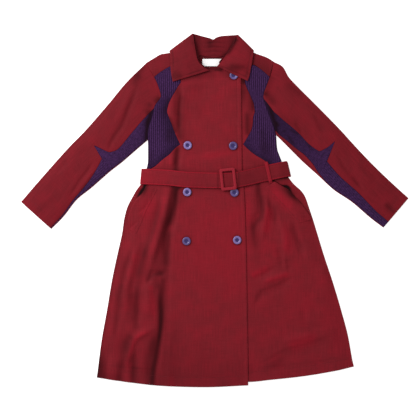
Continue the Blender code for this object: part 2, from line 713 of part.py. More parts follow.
def make_side_panels():
    """Ribbed panels from the slanting top edge to where they run out under the belt."""
    top_right = joined(body_right, column(PANEL_TOP_RIGHT, "y", "x"), PANEL_TOP_RIGHT[0].y)
    top_left = joined(body_left, column(PANEL_TOP_LEFT, "y", "x"), PANEL_TOP_LEFT[0].y)
    rows = (*TORSO_ROWS[:-1], PANEL_END)
    make_side_panel(
        "side_panel_right",
        (PANEL_TOP_RIGHT[-1].y, *rows[1:]),
        lambda y: top_right(y) + SEAM,
        lambda y: seam_right(y) - SEAM,
    )
    make_side_panel(
        "side_panel_left", rows, lambda y: seam_left(y) + SEAM, lambda y: top_left(y) - SEAM
    )


def make_yokes():
    """Shoulder yokes above the ribbed panels, down onto the back at the shoulder line."""
    for name, cuts, inward in (("yoke_right", YOKE_RIGHT, 1), ("yoke_left", YOKE_LEFT, -1)):
        tops, unders = [], []
        for cut in cuts:
            row = []
            for place, share in enumerate(spaced(YOKE_STEPS)):
                x = cut.low_x + (cut.high_x - cut.low_x) * share + inward * SEAM
                y = cut.low_y + (cut.high_y - cut.low_y) * share + (2 * SEAM if place == 0 else 0.0)
                row.append((place, (x, y, CLOTH + GAP + lift(x, y) * (1.0 - share**3))))
            unders.append(row)
            tops.append([(place, (x, y, z + CLOTH)) for place, (x, y, z) in row])
        wall(name, tops, unders, "shell")


class Sleeve:
    """Flattened sleeve: places across it by share, from the overarm fold at 0 to the underarm fold at 1."""

    def __init__(self, arms, gussets, armhole, outward):
        self.armhole = armhole
        self.over_x, self.over_y = column(arms, "along", "over_x"), column(arms, "along", "over_y")
        self.under_x, self.under_y = column(arms, "along", "under_x"), column(arms, "along", "under_y")
        self.dome = column(arms, "along", "dome")
        self.top, self.bottom = column(gussets, "along", "top"), column(gussets, "along", "bottom")
        self.steps = sorted({row.along for row in gussets} | set(ARM_STEPS))
        self.outward = outward
        drop = armhole[0].y - armhole[-1].y
        self.knots = [(armhole[0].y - spot.y) / drop for spot in armhole]

    def place(self, along, share):
        """Point on the plan, with the armhole's curve fading out along the sleeve."""
        start = Vector((self.over_x(along), self.over_y(along)))
        end = Vector((self.under_x(along), self.under_y(along)))
        first, last = Vector(self.armhole[0]), Vector(self.armhole[-1])
        hole = Vector((
            np.interp(share, self.knots, [spot.x for spot in self.armhole]),
            np.interp(share, self.knots, [spot.y for spot in self.armhole]),
        ))
        bulge = hole - first.lerp(last, share)
        point = start.lerp(end, share) + bulge * max(0.0, 1.0 - along / ARMHOLE_REACH) ** 2
        return point.x + self.outward * 2 * SEAM, point.y

    def width(self, along):
        return math.hypot(
            self.over_x(along) - self.under_x(along), self.over_y(along) - self.under_y(along)
        )

    def under(self, along, share, x, y):
        """Underside of the top layer: a low dome with the sleeve's folds."""
        arch = 1.0 - abs(2.0 * share - 1.0) ** 4
        return CLOTH + GAP + max(0.0, arch * (self.dome(along) + fold_height(x, y)))

    def shares(self, along, low, high, knots):
        """Shares from low to high, passing through the armhole's own corners at the start."""
        inner = [k for k in self.knots if knots[0] < k < knots[1]]
        marks = [(k - knots[0]) / (knots[1] - knots[0]) for k in (knots[0], *inner, knots[1])]
        split = sorted({*marks, *((a + b) / 2 for a, b in zip(marks, marks[1:]))})
        return [low + (high - low) * mark for mark in split]

    def layer(self, name, low, high, finish):
        """Piece of the top layer between two shares, each a reading along the sleeve."""
        knots = (low(0.0), high(0.0))
        tops, unders = [], []
        for along in self.steps:
            edge = SEAM / self.width(along)
            ends = (low(along) + edge, high(along) - edge)
            under_row = []
            for place, share in enumerate(self.shares(along, *ends, knots)):
                x, y = self.place(along, share)
                under_row.append((place, (x, y, self.under(along, share, x, y))))
            unders.append(under_row)
            tops.append([(place, (x, y, z + CLOTH)) for place, (x, y, z) in under_row])
        wall(name, tops, unders, finish)

    def back_layer(self, name):
        """Under sleeve: flat on the surface, then turned over the underarm fold up to the gusset."""
        outer_rows, inner_rows = [], []
        for along in self.steps:
            lip = min(self.bottom(along), 1.0 - SLEEVE_LIP / self.width(along))
            bend = 1.0 - CLOTH / self.width(along)
            flat_shares = [*self.knots[:-1], 1.0]
            outer, inner = [], []
            for place, share in enumerate(flat_shares):
                x, y = self.place(along, share)
                outer.append((place, (x, y, 0.0)))
                x, y = self.place(along, min(share, bend))
                inner.append((place, (x, y, CLOTH)))
            for step, past in enumerate(spaced(SLEEVE_LIP_STEPS)):
                share = 1.0 + (lip - 1.0) * past
                x, y = self.place(along, share)
                z = self.under(along, share, x, y)
                outer.append((len(flat_shares) + step, (x, y, z + CLOTH)))
                x, y = self.place(along, min(share, bend))
                inner.append((len(flat_shares) + step, (x, y, z)))
            if lip > bend - 1e-6:
                inner[-1] = (inner[-1][0], (*self.place(along, lip), inner[-1][1][2]))
            outer_rows.append(outer)
            inner_rows.append(inner)
        wall(name, outer_rows, inner_rows, "shell")


def make_sleeves():
    for side, arms, gussets, armhole, outward in (
        ("right", ARM_RIGHT, GUSSET_RIGHT, ARMHOLE_RIGHT, -1),
        ("left", ARM_LEFT, GUSSET_LEFT, ARMHOLE_LEFT, 1),
    ):
        sleeve = Sleeve(arms, gussets, armhole, outward)

        def fold_end(along, sleeve=sleeve):
            return min(sleeve.bottom(along), 1.0 - SLEEVE_LIP / sleeve.width(along))

        sleeve.layer(f"sleeve_{side}_upper", lambda along: 0.0, sleeve.top, "shell")
        sleeve.layer(f"sleeve_{side}_gusset", sleeve.top, fold_end, "rib")
        sleeve.back_layer(f"sleeve_{side}_under")


def ruled_wall(name, lines, thick, finish):
    """Wall of even thickness about a surface of ruled cuts, by a Solidify modifier."""
    mesh = bmesh.new()
    rows = [[mesh.verts.new(point) for point in line] for line in lines]
    for first, second in zip(rows, rows[1:]):
        for i in range(len(first) - 1):
            mesh.faces.new((first[i], first[i + 1], second[i + 1], second[i]))
    bmesh.ops.recalc_face_normals(mesh, faces=mesh.faces[:])
    made = add_object(name, mesh, finish)
    solidify = made.modifiers.new("wall", "SOLIDIFY")
    solidify.thickness = thick
    solidify.offset = 0.0
    return made


def make_collar():
    """Fall and stand, meeting along the roll line."""
    fall = []
    for cut in COLLAR_FALL:
        roll = Vector((cut.roll_x, cut.roll_y, cut.roll_z))
        edge = Vector((cut.edge_x, cut.edge_y, cut.edge_z))
        fall.append([roll.lerp(edge, share) for share in spaced(FALL_STEPS)])
    ruled_wall("collar_fall", fall, COLLAR_CLOTH, "shell")
    stand = []
    for cut in COLLAR_STAND:
        roll = Vector((cut.roll_x, cut.roll_y, cut.roll_z))
        seam = Vector((cut.seam_x, cut.seam_y, cut.seam_z))
        stand.append([roll.lerp(seam, share) for share in spaced(STAND_STEPS)])
    ruled_wall("collar_stand", stand, COLLAR_CLOTH, "shell")


def make_label():
    """Bare woven label lying on the inside of the back."""
    half_width, half_height = LABEL_SIZE[0] / 2, LABEL_SIZE[1] / 2
    base = CLOTH + GAP
    plan = [
        [
            (place, LABEL_PLACE[0] + half_width * across, LABEL_PLACE[1] + half_height * down)
            for place, across in enumerate((-1.0, 0.0, 1.0))
        ]
        for down in (1.0, -1.0)
    ]
    draped("neck_label", plan, lambda x, y: base, "label", LABEL_CLOTH)


class Rest:
    """Finds how high the pieces made so far stand under a point."""

    def __init__(self, names):
        self.trees = []
        for name in names:
            mesh = bpy.data.objects[name].data
            points = [vertex.co for vertex in mesh.vertices]
            faces = [tuple(polygon.vertices) for polygon in mesh.polygons]
            self.trees.append(BVHTree.FromPolygons(points, faces))

    def top(self, x, y):
        hits = [tree.ray_cast((x, y, 1.0), (0.0, 0.0, -1.0))[0] for tree in self.trees]
        return max((hit.z for hit in hits if hit), default=0.0)

    def around(self, x, y, reach):
        """Highest top within a small square round a point."""
        steps = (-reach, 0.0, reach)
        return max(self.top(x + dx, y + dy) for dx in steps for dy in steps)


COAT_TOP = ("front_right", "front_left", "side_panel_right", "side_panel_left")


def make_welts():
    """Pocket welts, from the mouth to the inner edge, resting on the fronts."""
    rest = Rest(COAT_TOP)
    for name, rungs in WELTS.items():
        places = list(range(len(rungs)))
        tops, unders = [], []
        for at in np.linspace(0.0, places[-1], WELT_STEPS * places[-1] + 1):
            rung = Rung(*(np.interp(at, places, values) for values in zip(*rungs)))
            row = []
            for place, across in enumerate(spaced(WELT_ACROSS)):
                x = rung.mouth_x + (rung.inner_x - rung.mouth_x) * across
                y = rung.mouth_y + (rung.inner_y - rung.mouth_y) * across
                row.append((place, (x, y, rest.around(x, y, WELT_REACH) + GAP)))
            unders.append(row)
            tops.append([(place, (x, y, z + WELT_CLOTH)) for place, (x, y, z) in row])
        wall(name, tops, unders, "shell")


def band_path():
    """Stations round the belt's loop: (point on the wall's middle, outward normal, across the width)."""
    rest = Rest(COAT_TOP + ("back",))
    half = BELT_CLOTH / 2
    xs = np.linspace(BELT_LINE[0].x, BELT_LINE[-1].x, BELT_STATIONS)
    front = []
    for x in xs:
        across = Vector((belt_lean(x), 1.0, 0.0)).normalized()
        middle = Vector((x, belt_line(x), 0.0))
        ways = [middle + across * BELT_WIDTH / 2 * share for share in BELT_WAYS]
        front.append([middle, across, max(rest.around(p.x, p.y, BELT_REACH) for p in ways)])
    heights = [entry[2] for entry in front]
    for i, entry in enumerate(front):
        near = heights[max(0, i - 1) : i + 2]
        entry[0].z = max(near) + BELT_RISE + half
    stations = [(point, Vector((0.0, 0.0, 1.0)), across) for point, across, _ in front]
    under = [Vector((x, BELT_BACK_MID + BELT_BACK_SLOPE * x, half)) for x in xs[::-3]]
    under_stations = [
        (point, Vector((0.0, 0.0, -1.0)), Vector((belt_lean(point.x), 1.0, 0.0)).normalized())
        for point in under
    ]
    loop = list(stations)
    for start, end, side in (
        (stations[-1], under_stations[0], 1.0),
        (under_stations[-1], stations[0], -1.0),
    ):
        turn = []
        for step in range(1, BELT_TURN_STEPS):
            share = step / BELT_TURN_STEPS
            angle = math.pi * share
            up = math.cos(angle) * side
            radius = abs(start[0].z - end[0].z) / 2
            middle = start[0].lerp(end[0], share)
            middle.z = (start[0].z + end[0].z) / 2 + radius * up
            middle.x += side * radius * math.sin(angle)
            normal = Vector((side * math.sin(angle), 0.0, up))
            turn.append((middle, normal, start[2].lerp(end[2], share).normalized()))
        loop += turn + (under_stations if side > 0 else [])
    return loop


def make_belt():
    """Belt as one closed loop round the waist, over the fronts and under the back."""
    mesh = bmesh.new()
    rings = []
    for middle, normal, across in band_path():
        corners = ((1, -1), (1, 1), (-1, 1), (-1, -1))
        rings.append([
            mesh.verts.new(middle + normal * (out * BELT_CLOTH / 2) + across * (way * BELT_WIDTH / 2))
            for out, way in corners
        ])
    for first, second in zip(rings, rings[1:] + rings[:1]):
        for i in range(4):
            mesh.faces.new((first[i], first[i - 1], second[i - 1], second[i]))
    bmesh.ops.recalc_face_normals(mesh, faces=mesh.faces[:])
    add_object("belt", mesh, "shell")


def make_belt_loop():
    """Narrow strap over the belt, sewn to the coat above and below it."""
    coat, belt = Rest((*COAT_TOP, *WELTS)), Rest((*COAT_TOP, *WELTS, "belt"))
    down = Vector((math.sin(LOOP_TURN), -math.cos(LOOP_TURN)))
    across = Vector((-down.y, down.x)) * LOOP_WIDTH / 2
    tops, unders = [], []
    for share in sorted(LOOP_SEWN + LOOP_OVER_BELT):
        middle = Vector(LOOP_PLACE) + down * LOOP_LENGTH * (share - 0.5)
        rest, reach = (coat, LOOP_COAT_REACH) if share in LOOP_SEWN else (belt, LOOP_BELT_REACH)
        points = [middle + across * side for side in (-1.0, 1.0)]
        height = max(rest.around(p.x, p.y, reach) for p in points) + GAP
        row = [(place, (p.x, p.y, height)) for place, p in enumerate(points)]
        unders.append(row)
        tops.append([(place, (x, y, z + CLOTH)) for place, (x, y, z) in row])
    wall("belt_loop", tops, unders, "shell")


def rounded_outline(width, height, corner, steps=3):
    """Corner arcs of a rounded rectangle, anticlockwise."""
    points = []
    for quarter, (sx, sy) in enumerate(((1, 1), (-1, 1), (-1, -1), (1, -1))):
        centre = Vector((sx * (width / 2 - corner), sy * (height / 2 - corner)))
        for step in range(steps + 1):
            angle = math.pi / 2 * (quarter + step / steps)
            points.append(centre + corner * Vector((math.cos(angle), math.sin(angle))))
    return points


def make_buckle():
    """Cloth-covered frame standing on the belt, its edges rounded over."""
    mesh = bmesh.new()
    inner_size = (BUCKLE_WIDTH - 2 * BUCKLE_BAR, BUCKLE_HEIGHT - 2 * BUCKLE_BAR)
    outer = rounded_outline(BUCKLE_WIDTH, BUCKLE_HEIGHT, BUCKLE_CORNER)
    inner = rounded_outline(*inner_size, BUCKLE_INNER_CORNER)
    soft = BUCKLE_SOFT / BUCKLE_BAR
    shoulder = BUCKLE_THICK - BUCKLE_SOFT
    rings = []
    for share, height in (
        (0.0, 0.0), (0.0, shoulder), (soft, BUCKLE_THICK), (1.0 - soft, BUCKLE_THICK), (1.0, shoulder),
        (1.0, 0.0),
    ):
        rings.append([
            mesh.verts.new((*a.lerp(b, share), height)) for a, b in zip(outer, inner)
        ])
    count = len(outer)
    for first, second in zip(rings, rings[1:] + rings[:1]):
        for i in range(count):
            mesh.faces.new((first[i], first[i - 1], second[i - 1], second[i]))
    bmesh.ops.recalc_face_normals(mesh, faces=mesh.faces[:])
    made = add_object("buckle", mesh, "buckle")
    turned = Matrix.Rotation(BUCKLE_TURN, 2)
    rest = Rest(("belt", "front_right"))
    spots = [Vector(BUCKLE_PLACE) + turned @ point for point in outer + inner]
    made.location = (*BUCKLE_PLACE, max(rest.top(*spot) for spot in spots) + GAP)
    made.rotation_euler = (0.0, 0.0, BUCKLE_TURN)


def make_buttons():
    """Turned buttons with a raised rim round a sunk middle, seated on the right front."""
    rest = Rest(("front_right",))
    for button in BUTTONS:
        mesh = bmesh.new()
        rings = []
        for row in BUTTON_PROFILE:
            angles = [2 * math.pi * i / BUTTON_SIDES for i in range(BUTTON_SIDES)]
            rings.append([
                mesh.verts.new((row.radius * math.cos(a), row.radius * math.sin(a), row.height))
                for a in angles
            ])
        for first, second in zip(rings, rings[1:]):
            for i in range(BUTTON_SIDES):
                mesh.faces.new((first[i - 1], first[i], second[i], second[i - 1]))
        mesh.faces.new(rings[0])
        mesh.faces.new(rings[-1])
        bmesh.ops.recalc_face_normals(mesh, faces=mesh.faces[:])
        made = add_object(button.name, mesh, "button")
        seat = rest.around(button.x, button.y, BUTTON_SEAT) + GAP
        made.location = (button.x, button.y, seat)


def main():
    for old in list(bpy.data.objects):
        bpy.data.objects.remove(old)
    coat = bpy.data.objects.new("coat", None)
    bpy.context.scene.collection.objects.link(coat)
    for finish in COLOURS:
        make_material(finish)
    make_back()
    make_left_front()
    make_right_front()
    make_side_panels()
    make_yokes()
    make_sleeves()
    make_collar()
    make_label()
    make_welts()
    make_belt()
    make_belt_loop()
    make_buckle()
    make_buttons()


main()
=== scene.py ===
"""Double-breasted belted coat with ribbed side panels, laid out flat: add-on that builds it piece by piece.

Metres, +Z up from the surface, +Y from hem to collar, +X to the right of someone looking down on it.
Right and left in the names are the wearer's: the right front lies at -X and laps over the left one.
"""

import math
from collections import namedtuple

import bpy
import numpy as np
from bpy.props import FloatProperty, FloatVectorProperty, PointerProperty
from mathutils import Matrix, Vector


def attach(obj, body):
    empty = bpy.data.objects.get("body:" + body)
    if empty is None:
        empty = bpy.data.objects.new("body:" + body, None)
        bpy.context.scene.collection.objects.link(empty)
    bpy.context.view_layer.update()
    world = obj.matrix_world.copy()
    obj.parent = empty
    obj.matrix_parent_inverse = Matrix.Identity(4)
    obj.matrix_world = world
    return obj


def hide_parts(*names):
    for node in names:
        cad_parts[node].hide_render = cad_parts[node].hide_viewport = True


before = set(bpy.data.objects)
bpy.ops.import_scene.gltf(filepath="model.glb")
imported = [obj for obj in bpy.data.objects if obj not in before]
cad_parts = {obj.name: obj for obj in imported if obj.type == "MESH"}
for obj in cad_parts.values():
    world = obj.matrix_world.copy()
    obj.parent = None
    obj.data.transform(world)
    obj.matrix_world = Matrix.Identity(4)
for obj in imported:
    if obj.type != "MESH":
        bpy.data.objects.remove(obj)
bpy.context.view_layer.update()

bl_info = {
    "name": "Belted Coat",
    "version": (1, 0, 0),
    "blender": (4, 5, 0),
    "location": "View3D > Sidebar > Coat",
    "description": "Builds a belted coat laid out flat, piece by piece",
    "category": "Add Mesh",
}


def table(fields, *rows):
    """Rows of values, each under its name."""
    row = namedtuple("Row", fields)
    return tuple(row(*values) for values in rows)


def spots(*places):
    return table("x y", *places)


# A crease: its width on the left and right hand of someone walking its route, its height, minus for a trough,
# the route itself, and the shares of its length over which it grows and fades
Crease = namedtuple("Crease", "left right height route starts ends", defaults=(0.32, 0.32))


def creases(*rows):
    return tuple(Crease(*row) for row in rows)


SIDES = ("right", "left")
OUTWARD = {"right": -1.0, "left": 1.0}
FULL_TURN = 2.0 * math.pi

# Clearances, where a minus is an overlap, and thicknesses of the cloths
GAP = 0.0003
SEAM = -0.0001
REST_CLEAR = 0.0006
RIB_BASE = 0.0014
COLLAR_CLOTH = 0.0016
LABEL_CLOTH = 0.0008
WELT_CLOTH = 0.0014

# How the layers lie; a pair is a start and a reach
EDGE_FADE = 0.050
FOLD_FADE = 0.015
LAP_RAMP = 0.014
LAP_FADE = 0.012
PRESS_DEPTH = 0.75
PRESS_REACH = 0.032
ARMPIT = (0.200, 0.060)
SHOULDER = (0.400, 0.044)
TOP_REACH = 0.060
HEM_REACH = 0.120
LIFT_SOFT = 0.0008
LIFT_BASE = 0.0006
BACK_FADE = (0.02, 0.03)
RIPPLE_SLOW = 0.00040
RIPPLE_QUICK = 0.00022

# How far a crease is felt, in widths of its own, and its width at both ends as a share
CREASE_REACH = 3.0
CREASE_TAPER = 0.6

# Rounding of a cloth edge: how far in from the edge, and the share of the thickness drawn in from each face,
# with its limit for the lower face
EDGE_OFFSETS = np.array((0.0, 0.0005, 0.0012, 0.0024, 0.0042))
EDGE_DROPS = np.array((0.44, 0.25, 0.10, 0.02, 0.0))
LOWER_DROP = 0.4

# Width in edge roundings below which they shrink, and how near an even row may lie to a marked one
EDGE_ROOM = 4.0
MARK_CLEAR = 0.0004

# How far round a place the coat's highest point is looked for
NEAR_WELT = 0.0015
NEAR_BELT = 0.002
NEAR_SEAT = 0.001

# Rows and columns of the grids, and distances between rows
FRONT_ROW = 0.0040
BACK_ROW = 0.0075
LABEL_ROW = 0.0018
FRONT_COLUMNS = {"right": 112, "left": 126}
BACK_COLUMNS = 96
PANEL_COLUMNS = 160
YOKE_GRID = (46, 18)
SLEEVE_ROWS = 132
UPPER_COLUMNS = 40
GUSSET_COLUMNS = 46
UNDER_COLUMNS = 34
FALL_GRID = (220, 26)
STAND_GRID = (120, 22)
LABEL_COLUMNS = 44
WELT_GRID = (46, 20)
BELT_STATIONS = 150
BELT_PROBES = 7
BELT_TURN_STEPS = 14
BELT_BACK_EVERY = 3
LOOP_GRID = (40, 12)

# Belt, its buckle and its loop
BELT_RISE = 0.0007
BELT_BACK_MID = 0.1125
BELT_BACK_SLOPE = 0.049
BELT_RAMP = 0.012
BELT_WINDOW = 4
BELT_TOP = 0.56
FRONT_CLEAR = 0.012
BUCKLE_THICK = 0.0040
BUCKLE_CORNER = 0.006
BUCKLE_PLACE = (0.040, 0.0935)
BUCKLE_TURN = math.radians(6.0)
BUCKLE_INNER_CORNER = 0.45
BUCKLE_STEPS = 12
BUCKLE_BEND = -0.35
BUCKLE_FOOT = (0.75, 0.25)
BUCKLE_SHOULDER = 0.18
BUCKLE_ROUND = 0.6
LOOP_WIDTH = 0.010
LOOP_LENGTH = 0.066
LOOP_PLACE = (0.1605, 0.1130)
LOOP_TURN = math.radians(13.0)
LOOP_BEND = (0.0022, 0.0045)

# Neck label, bare, with a slow wave along it
LABEL_SIZE = (0.070, 0.022)
LABEL_PLACE = (-0.002, 0.4435)
LABEL_CORNER = 0.0016
LABEL_WAVE = 0.0006
LABEL_WAVE_LENGTH = 0.046
LABEL_WAVE_START = 0.5

# Buttons: place, painted shade darkening each rim, and how far the collar's shadow is painted on it
BUTTONS = table(
    "name x y dark shaded",
    ("button_left_neck", 0.057, 0.4045, 0.40, 0.35),
    ("button_left_chest", 0.055, 0.1935, 1.00, 0.0),
    ("button_left_hip", 0.059, 0.0538, 0.80, 0.0),
    ("button_left_skirt", 0.067, -0.0885, 0.10, 0.0),
    ("button_right_chest", -0.081, 0.1950, 0.00, 0.0),
    ("button_right_hip", -0.0825, 0.0550, 0.05, 0.0),
    ("button_right_skirt", -0.0845, -0.0915, 0.90, 0.0),
)

# Turned button: radius as a share of the button's, height, and whether the ring belongs to the dark middle
BUTTON_PROFILE = table(
    "radius height middle",
    (0.3, 0.0, 0), (0.7, 0.0, 0), (0.93, 0.0005, 0), (1.0, 0.0014, 0), (0.98, 0.0022, 0),
    (0.92, 0.0028, 0), (0.8, 0.0031, 0), (0.64, 0.003, 0), (0.52, 0.0024, 0), (0.47, 0.0018, 0),
    (0.44, 0.0016, 1), (0.36, 0.0014, 1), (0.18, 0.0013, 1),
)
BUTTON_SIDES = 48
BUTTON_SEAT = 0.9
BUTTON_MIDDLE = 0.0013
# Painted shade on the rims: its share, and where the collar's painted shadow starts across a button
BUTTON_PAINTED_SHADE = 0.7
BUTTON_SHADE_START = 0.4

# Side seams below the armholes, from armpit to hem
SIDE_SEAMS = table(
    "y right left",
    (0.226, -0.201, 0.184), (0.187, -0.2, 0.187), (0.151, -0.2, 0.199), (0.118, -0.206, 0.212),
    (0.097, -0.214, 0.2225), (0.079, -0.2215, 0.237), (0.061, -0.2345, 0.257), (0.043, -0.245, 0.27),
    (0.007, -0.263, 0.283), (-0.029, -0.272, 0.295), (-0.065, -0.277, 0.306), (-0.137, -0.293, 0.328),
    (-0.209, -0.308, 0.352), (-0.299, -0.323, 0.379), (-0.389, -0.339, 0.402), (-0.499, -0.3535, 0.417),
)

# Armhole seams, from shoulder to armpit
ARMHOLES = {
    "right": spots(
        (-0.206, 0.442), (-0.1815, 0.4), (-0.1695, 0.373), (-0.1615, 0.343), (-0.18, 0.313),
        (-0.188, 0.28), (-0.199, 0.241), (-0.201, 0.211),
    ),
    "left": spots(
        (0.177, 0.446), (0.165, 0.4), (0.155, 0.373), (0.146, 0.343), (0.154, 0.313), (0.166, 0.28),
        (0.18, 0.241), (0.184, 0.226),
    ),
}

# Curved seams where the fronts meet the ribbed side panels, with a sharp tip
SEAM_TIP = 0.198
FRONT_SEAMS = table(
    "y right left",
    (0.437, -0.109, 0.104), (0.424, -0.108, 0.1), (0.4, -0.104, 0.095), (0.385, -0.101, 0.09),
    (0.373, -0.109, 0.0935), (0.361, -0.1155, 0.0985), (0.343, -0.126, 0.107), (0.313, -0.1395, 0.118),
    (0.295, -0.1425, 0.1195), (0.28, -0.1375, 0.115), (0.259, -0.129, 0.1135), (0.241, -0.1225, 0.1095),
    (0.226, -0.1165, 0.1015), (0.211, -0.1095, 0.093), (SEAM_TIP, -0.103, 0.085), (0.187, -0.118, 0.096),
    (0.169, -0.1345, 0.117), (0.151, -0.1575, 0.1465), (0.133, -0.1775, 0.174), (0.118, -0.2045, 0.2105),
)
TIP_MARKS = (SEAM_TIP + 0.0016, SEAM_TIP + 0.0005, SEAM_TIP, SEAM_TIP - 0.0005, SEAM_TIP - 0.0016)
WAIST_SEAM = 0.118
PANEL_END = 0.1195

# Slanting top edges of the side panels
PANEL_TOPS = {
    "right": spots(
        (-0.1815, 0.4), (-0.1665, 0.412), (-0.148, 0.424), (-0.134, 0.432),
    ),
    "left": spots(
        (0.165, 0.4), (0.137, 0.424), (0.116, 0.437),
    ),
}

# Front edges: the shown edge of the right front and the hidden one of the left front
FRONT_EDGES = table(
    "y shown hidden",
    (0.437, 0.079, -0.09), (0.211, 0.081, -0.094), (0.13, 0.082, -0.098), (0.043, 0.089, -0.116),
    (-0.12, 0.094, -0.122), (-0.35, 0.098, -0.131), (-0.53, 0.101, -0.136),
)

# Top and hem lines of the panels, across the coat
TOPS = {
    "back": spots(
        (-0.206, 0.442), (-0.182, 0.457), (-0.16, 0.469), (-0.134, 0.473), (-0.083, 0.484),
        (-0.05, 0.471), (-0.002, 0.4645), (0.048, 0.471), (0.079, 0.484), (0.134, 0.467), (0.158, 0.458),
        (0.177, 0.446),
    ),
    "right": spots(
        (-0.108, 0.424), (-0.04, 0.422), (0.05, 0.421), (0.082, 0.411),
    ),
    "left": spots(
        (-0.09, 0.415), (0.01, 0.415), (0.045, 0.437), (0.104, 0.437),
    ),
}
HEMS = {
    "back": spots(
        (-0.3535, -0.498), (-0.149, -0.52), (0.0, -0.522), (0.166, -0.504), (0.417, -0.465),
    ),
    "right": spots(
        (-0.3535, -0.501), (-0.245, -0.5165), (-0.149, -0.526), (-0.029, -0.529), (0.101, -0.5235),
    ),
    "left": spots(
        (-0.136, -0.513), (0.103, -0.5135), (0.166, -0.5075), (0.262, -0.497), (0.364, -0.48),
        (0.417, -0.468),
    ),
}
PANEL_HIGH = {"back": 0.442, "right": 0.424, "left": 0.437}
PANEL_LOW = -0.499

# Shoulder yokes: cuts from the seam with the panels below, x and y, to the shoulder line, x and y
YOKES = {
    "right": (
        (-0.1815, 0.4, -0.206, 0.442), (-0.1665, 0.412, -0.191, 0.4514), (-0.148, 0.424, -0.1745, 0.4611),
        (-0.134, 0.432, -0.16, 0.469), (-0.108, 0.432, -0.134, 0.473), (-0.08, 0.4235, -0.105, 0.479),
        (-0.058, 0.423, -0.084, 0.483),
    ),
    "left": (
        (0.165, 0.4, 0.177, 0.446), (0.137, 0.424, 0.158, 0.458), (0.116, 0.437, 0.134, 0.467),
        (0.095, 0.437, 0.112, 0.474), (0.072, 0.437, 0.095, 0.479), (0.048, 0.437, 0.08, 0.483),
    ),
}
# Which cut of each yoke is a corner
YOKE_BENDS = {"right": (3.0,), "left": ()}

# Sleeves: cuts from the overarm fold to the underarm fold
ARM_FIELDS = "along over_x over_y under_x under_y dome"
ARMS = {
    "right": table(
        ARM_FIELDS,
        (0.0, -0.206, 0.442, -0.201, 0.211, 0.0045), (0.15, -0.265, 0.384, -0.234, 0.183, 0.007),
        (0.3, -0.319, 0.319, -0.279, 0.144, 0.007), (0.45, -0.3916, 0.2359, -0.312, 0.1184, 0.007),
        (0.6, -0.431, 0.196, -0.371, 0.067, 0.0065), (0.75, -0.488, 0.133, -0.413, 0.033, 0.006),
        (0.9, -0.544, 0.069, -0.455, -0.02, 0.005), (1.0, -0.581, 0.0258, -0.4905, -0.0555, 0.0045),
    ),
    "left": table(
        ARM_FIELDS,
        (0.0, 0.177, 0.446, 0.184, 0.226, 0.0045), (0.05, 0.203, 0.432, 0.196, 0.214, 0.0055),
        (0.1, 0.222, 0.4, 0.208, 0.202, 0.0065), (0.15, 0.247, 0.373, 0.221, 0.189, 0.007),
        (0.3, 0.304, 0.316, 0.265, 0.145, 0.007), (0.475, 0.377, 0.2412, 0.314, 0.1012, 0.007),
        (0.6, 0.418, 0.196, 0.358, 0.061, 0.0065), (0.75, 0.478, 0.133, 0.409, 0.027, 0.006),
        (0.9, 0.539, 0.075, 0.469, -0.024, 0.005), (1.0, 0.581, 0.037, 0.5055, -0.0515, 0.0045),
    ),
}
ARMHOLE_REACH = 0.28
SLEEVE_LIP = 0.0016
SLEEVE_ROUND = 0.0022
SLEEVE_LENGTH = 0.560
SLEEVE_RIPPLE = 1.4
ARCH_POWER = 4

# Turns of the cloth over the overarm fold, and of the under sleeve up to its lip
OVER_TURN = np.radians(np.linspace(-62.0, 84.0, 8))
UNDER_START = 1.3
UNDER_TURN_STEPS = 10
LIP_STEPS = 7
LIP_TURN = 0.35

# Ribbed gussets of the sleeves: the shares of each cut that they lie between, with a spike at the elbow
GUSSET_FIELDS = "along top bottom"
GUSSETS = {
    "right": table(
        GUSSET_FIELDS,
        (0.0, 0.59, 1.0), (0.05, 0.634, 1.0), (0.1, 0.67, 1.0), (0.15, 0.704, 1.0), (0.3, 0.765, 1.0),
        (0.375, 0.7, 1.0), (0.447, 0.36, 1.0), (0.453, 0.687, 1.0), (0.6, 0.86, 1.0), (0.75, 0.935, 1.0),
        (1.0, 0.968, 1.0),
    ),
    "left": table(
        GUSSET_FIELDS,
        (0.0, 0.505, 0.9318), (0.05, 0.645, 0.945), (0.1, 0.642, 0.93), (0.15, 0.643, 0.92),
        (0.22, 0.645, 0.905), (0.3, 0.662, 0.88), (0.395, 0.63, 0.905), (0.44, 0.47, 0.945),
        (0.472, 0.255, 0.965), (0.478, 0.66, 0.967), (0.56, 0.69, 1.0), (0.75, 0.73, 1.0),
        (0.9, 0.78, 1.0), (1.0, 0.8, 1.0),
    ),
}
SPIKES = {"right": (0.447, 0.453), "left": (0.472, 0.478)}
SPIKE_STEPS = 5
SPIKE_NEAR = 0.0015
SPIKE_FAR = 0.004
SPIKE_CLEAR = 0.001

# Ribs of the knit: how they wander, gather by a seam and fade out at an edge
RIB_WANDER = 0.0006
RIB_FADE = 0.0035
RIB_GATHER = 0.0004
GATHER_REACH = 0.012
GATHER_LIMIT = -0.0003
KNIT_GRAIN = 0.00012
KNIT_STRETCH = (1.7, 1.3)
GUSSET_RIBS = 0.50
GUSSET_CRINKLE = 0.60
GUSSET_RISE = 0.0008
GUSSET_FADE = 0.003

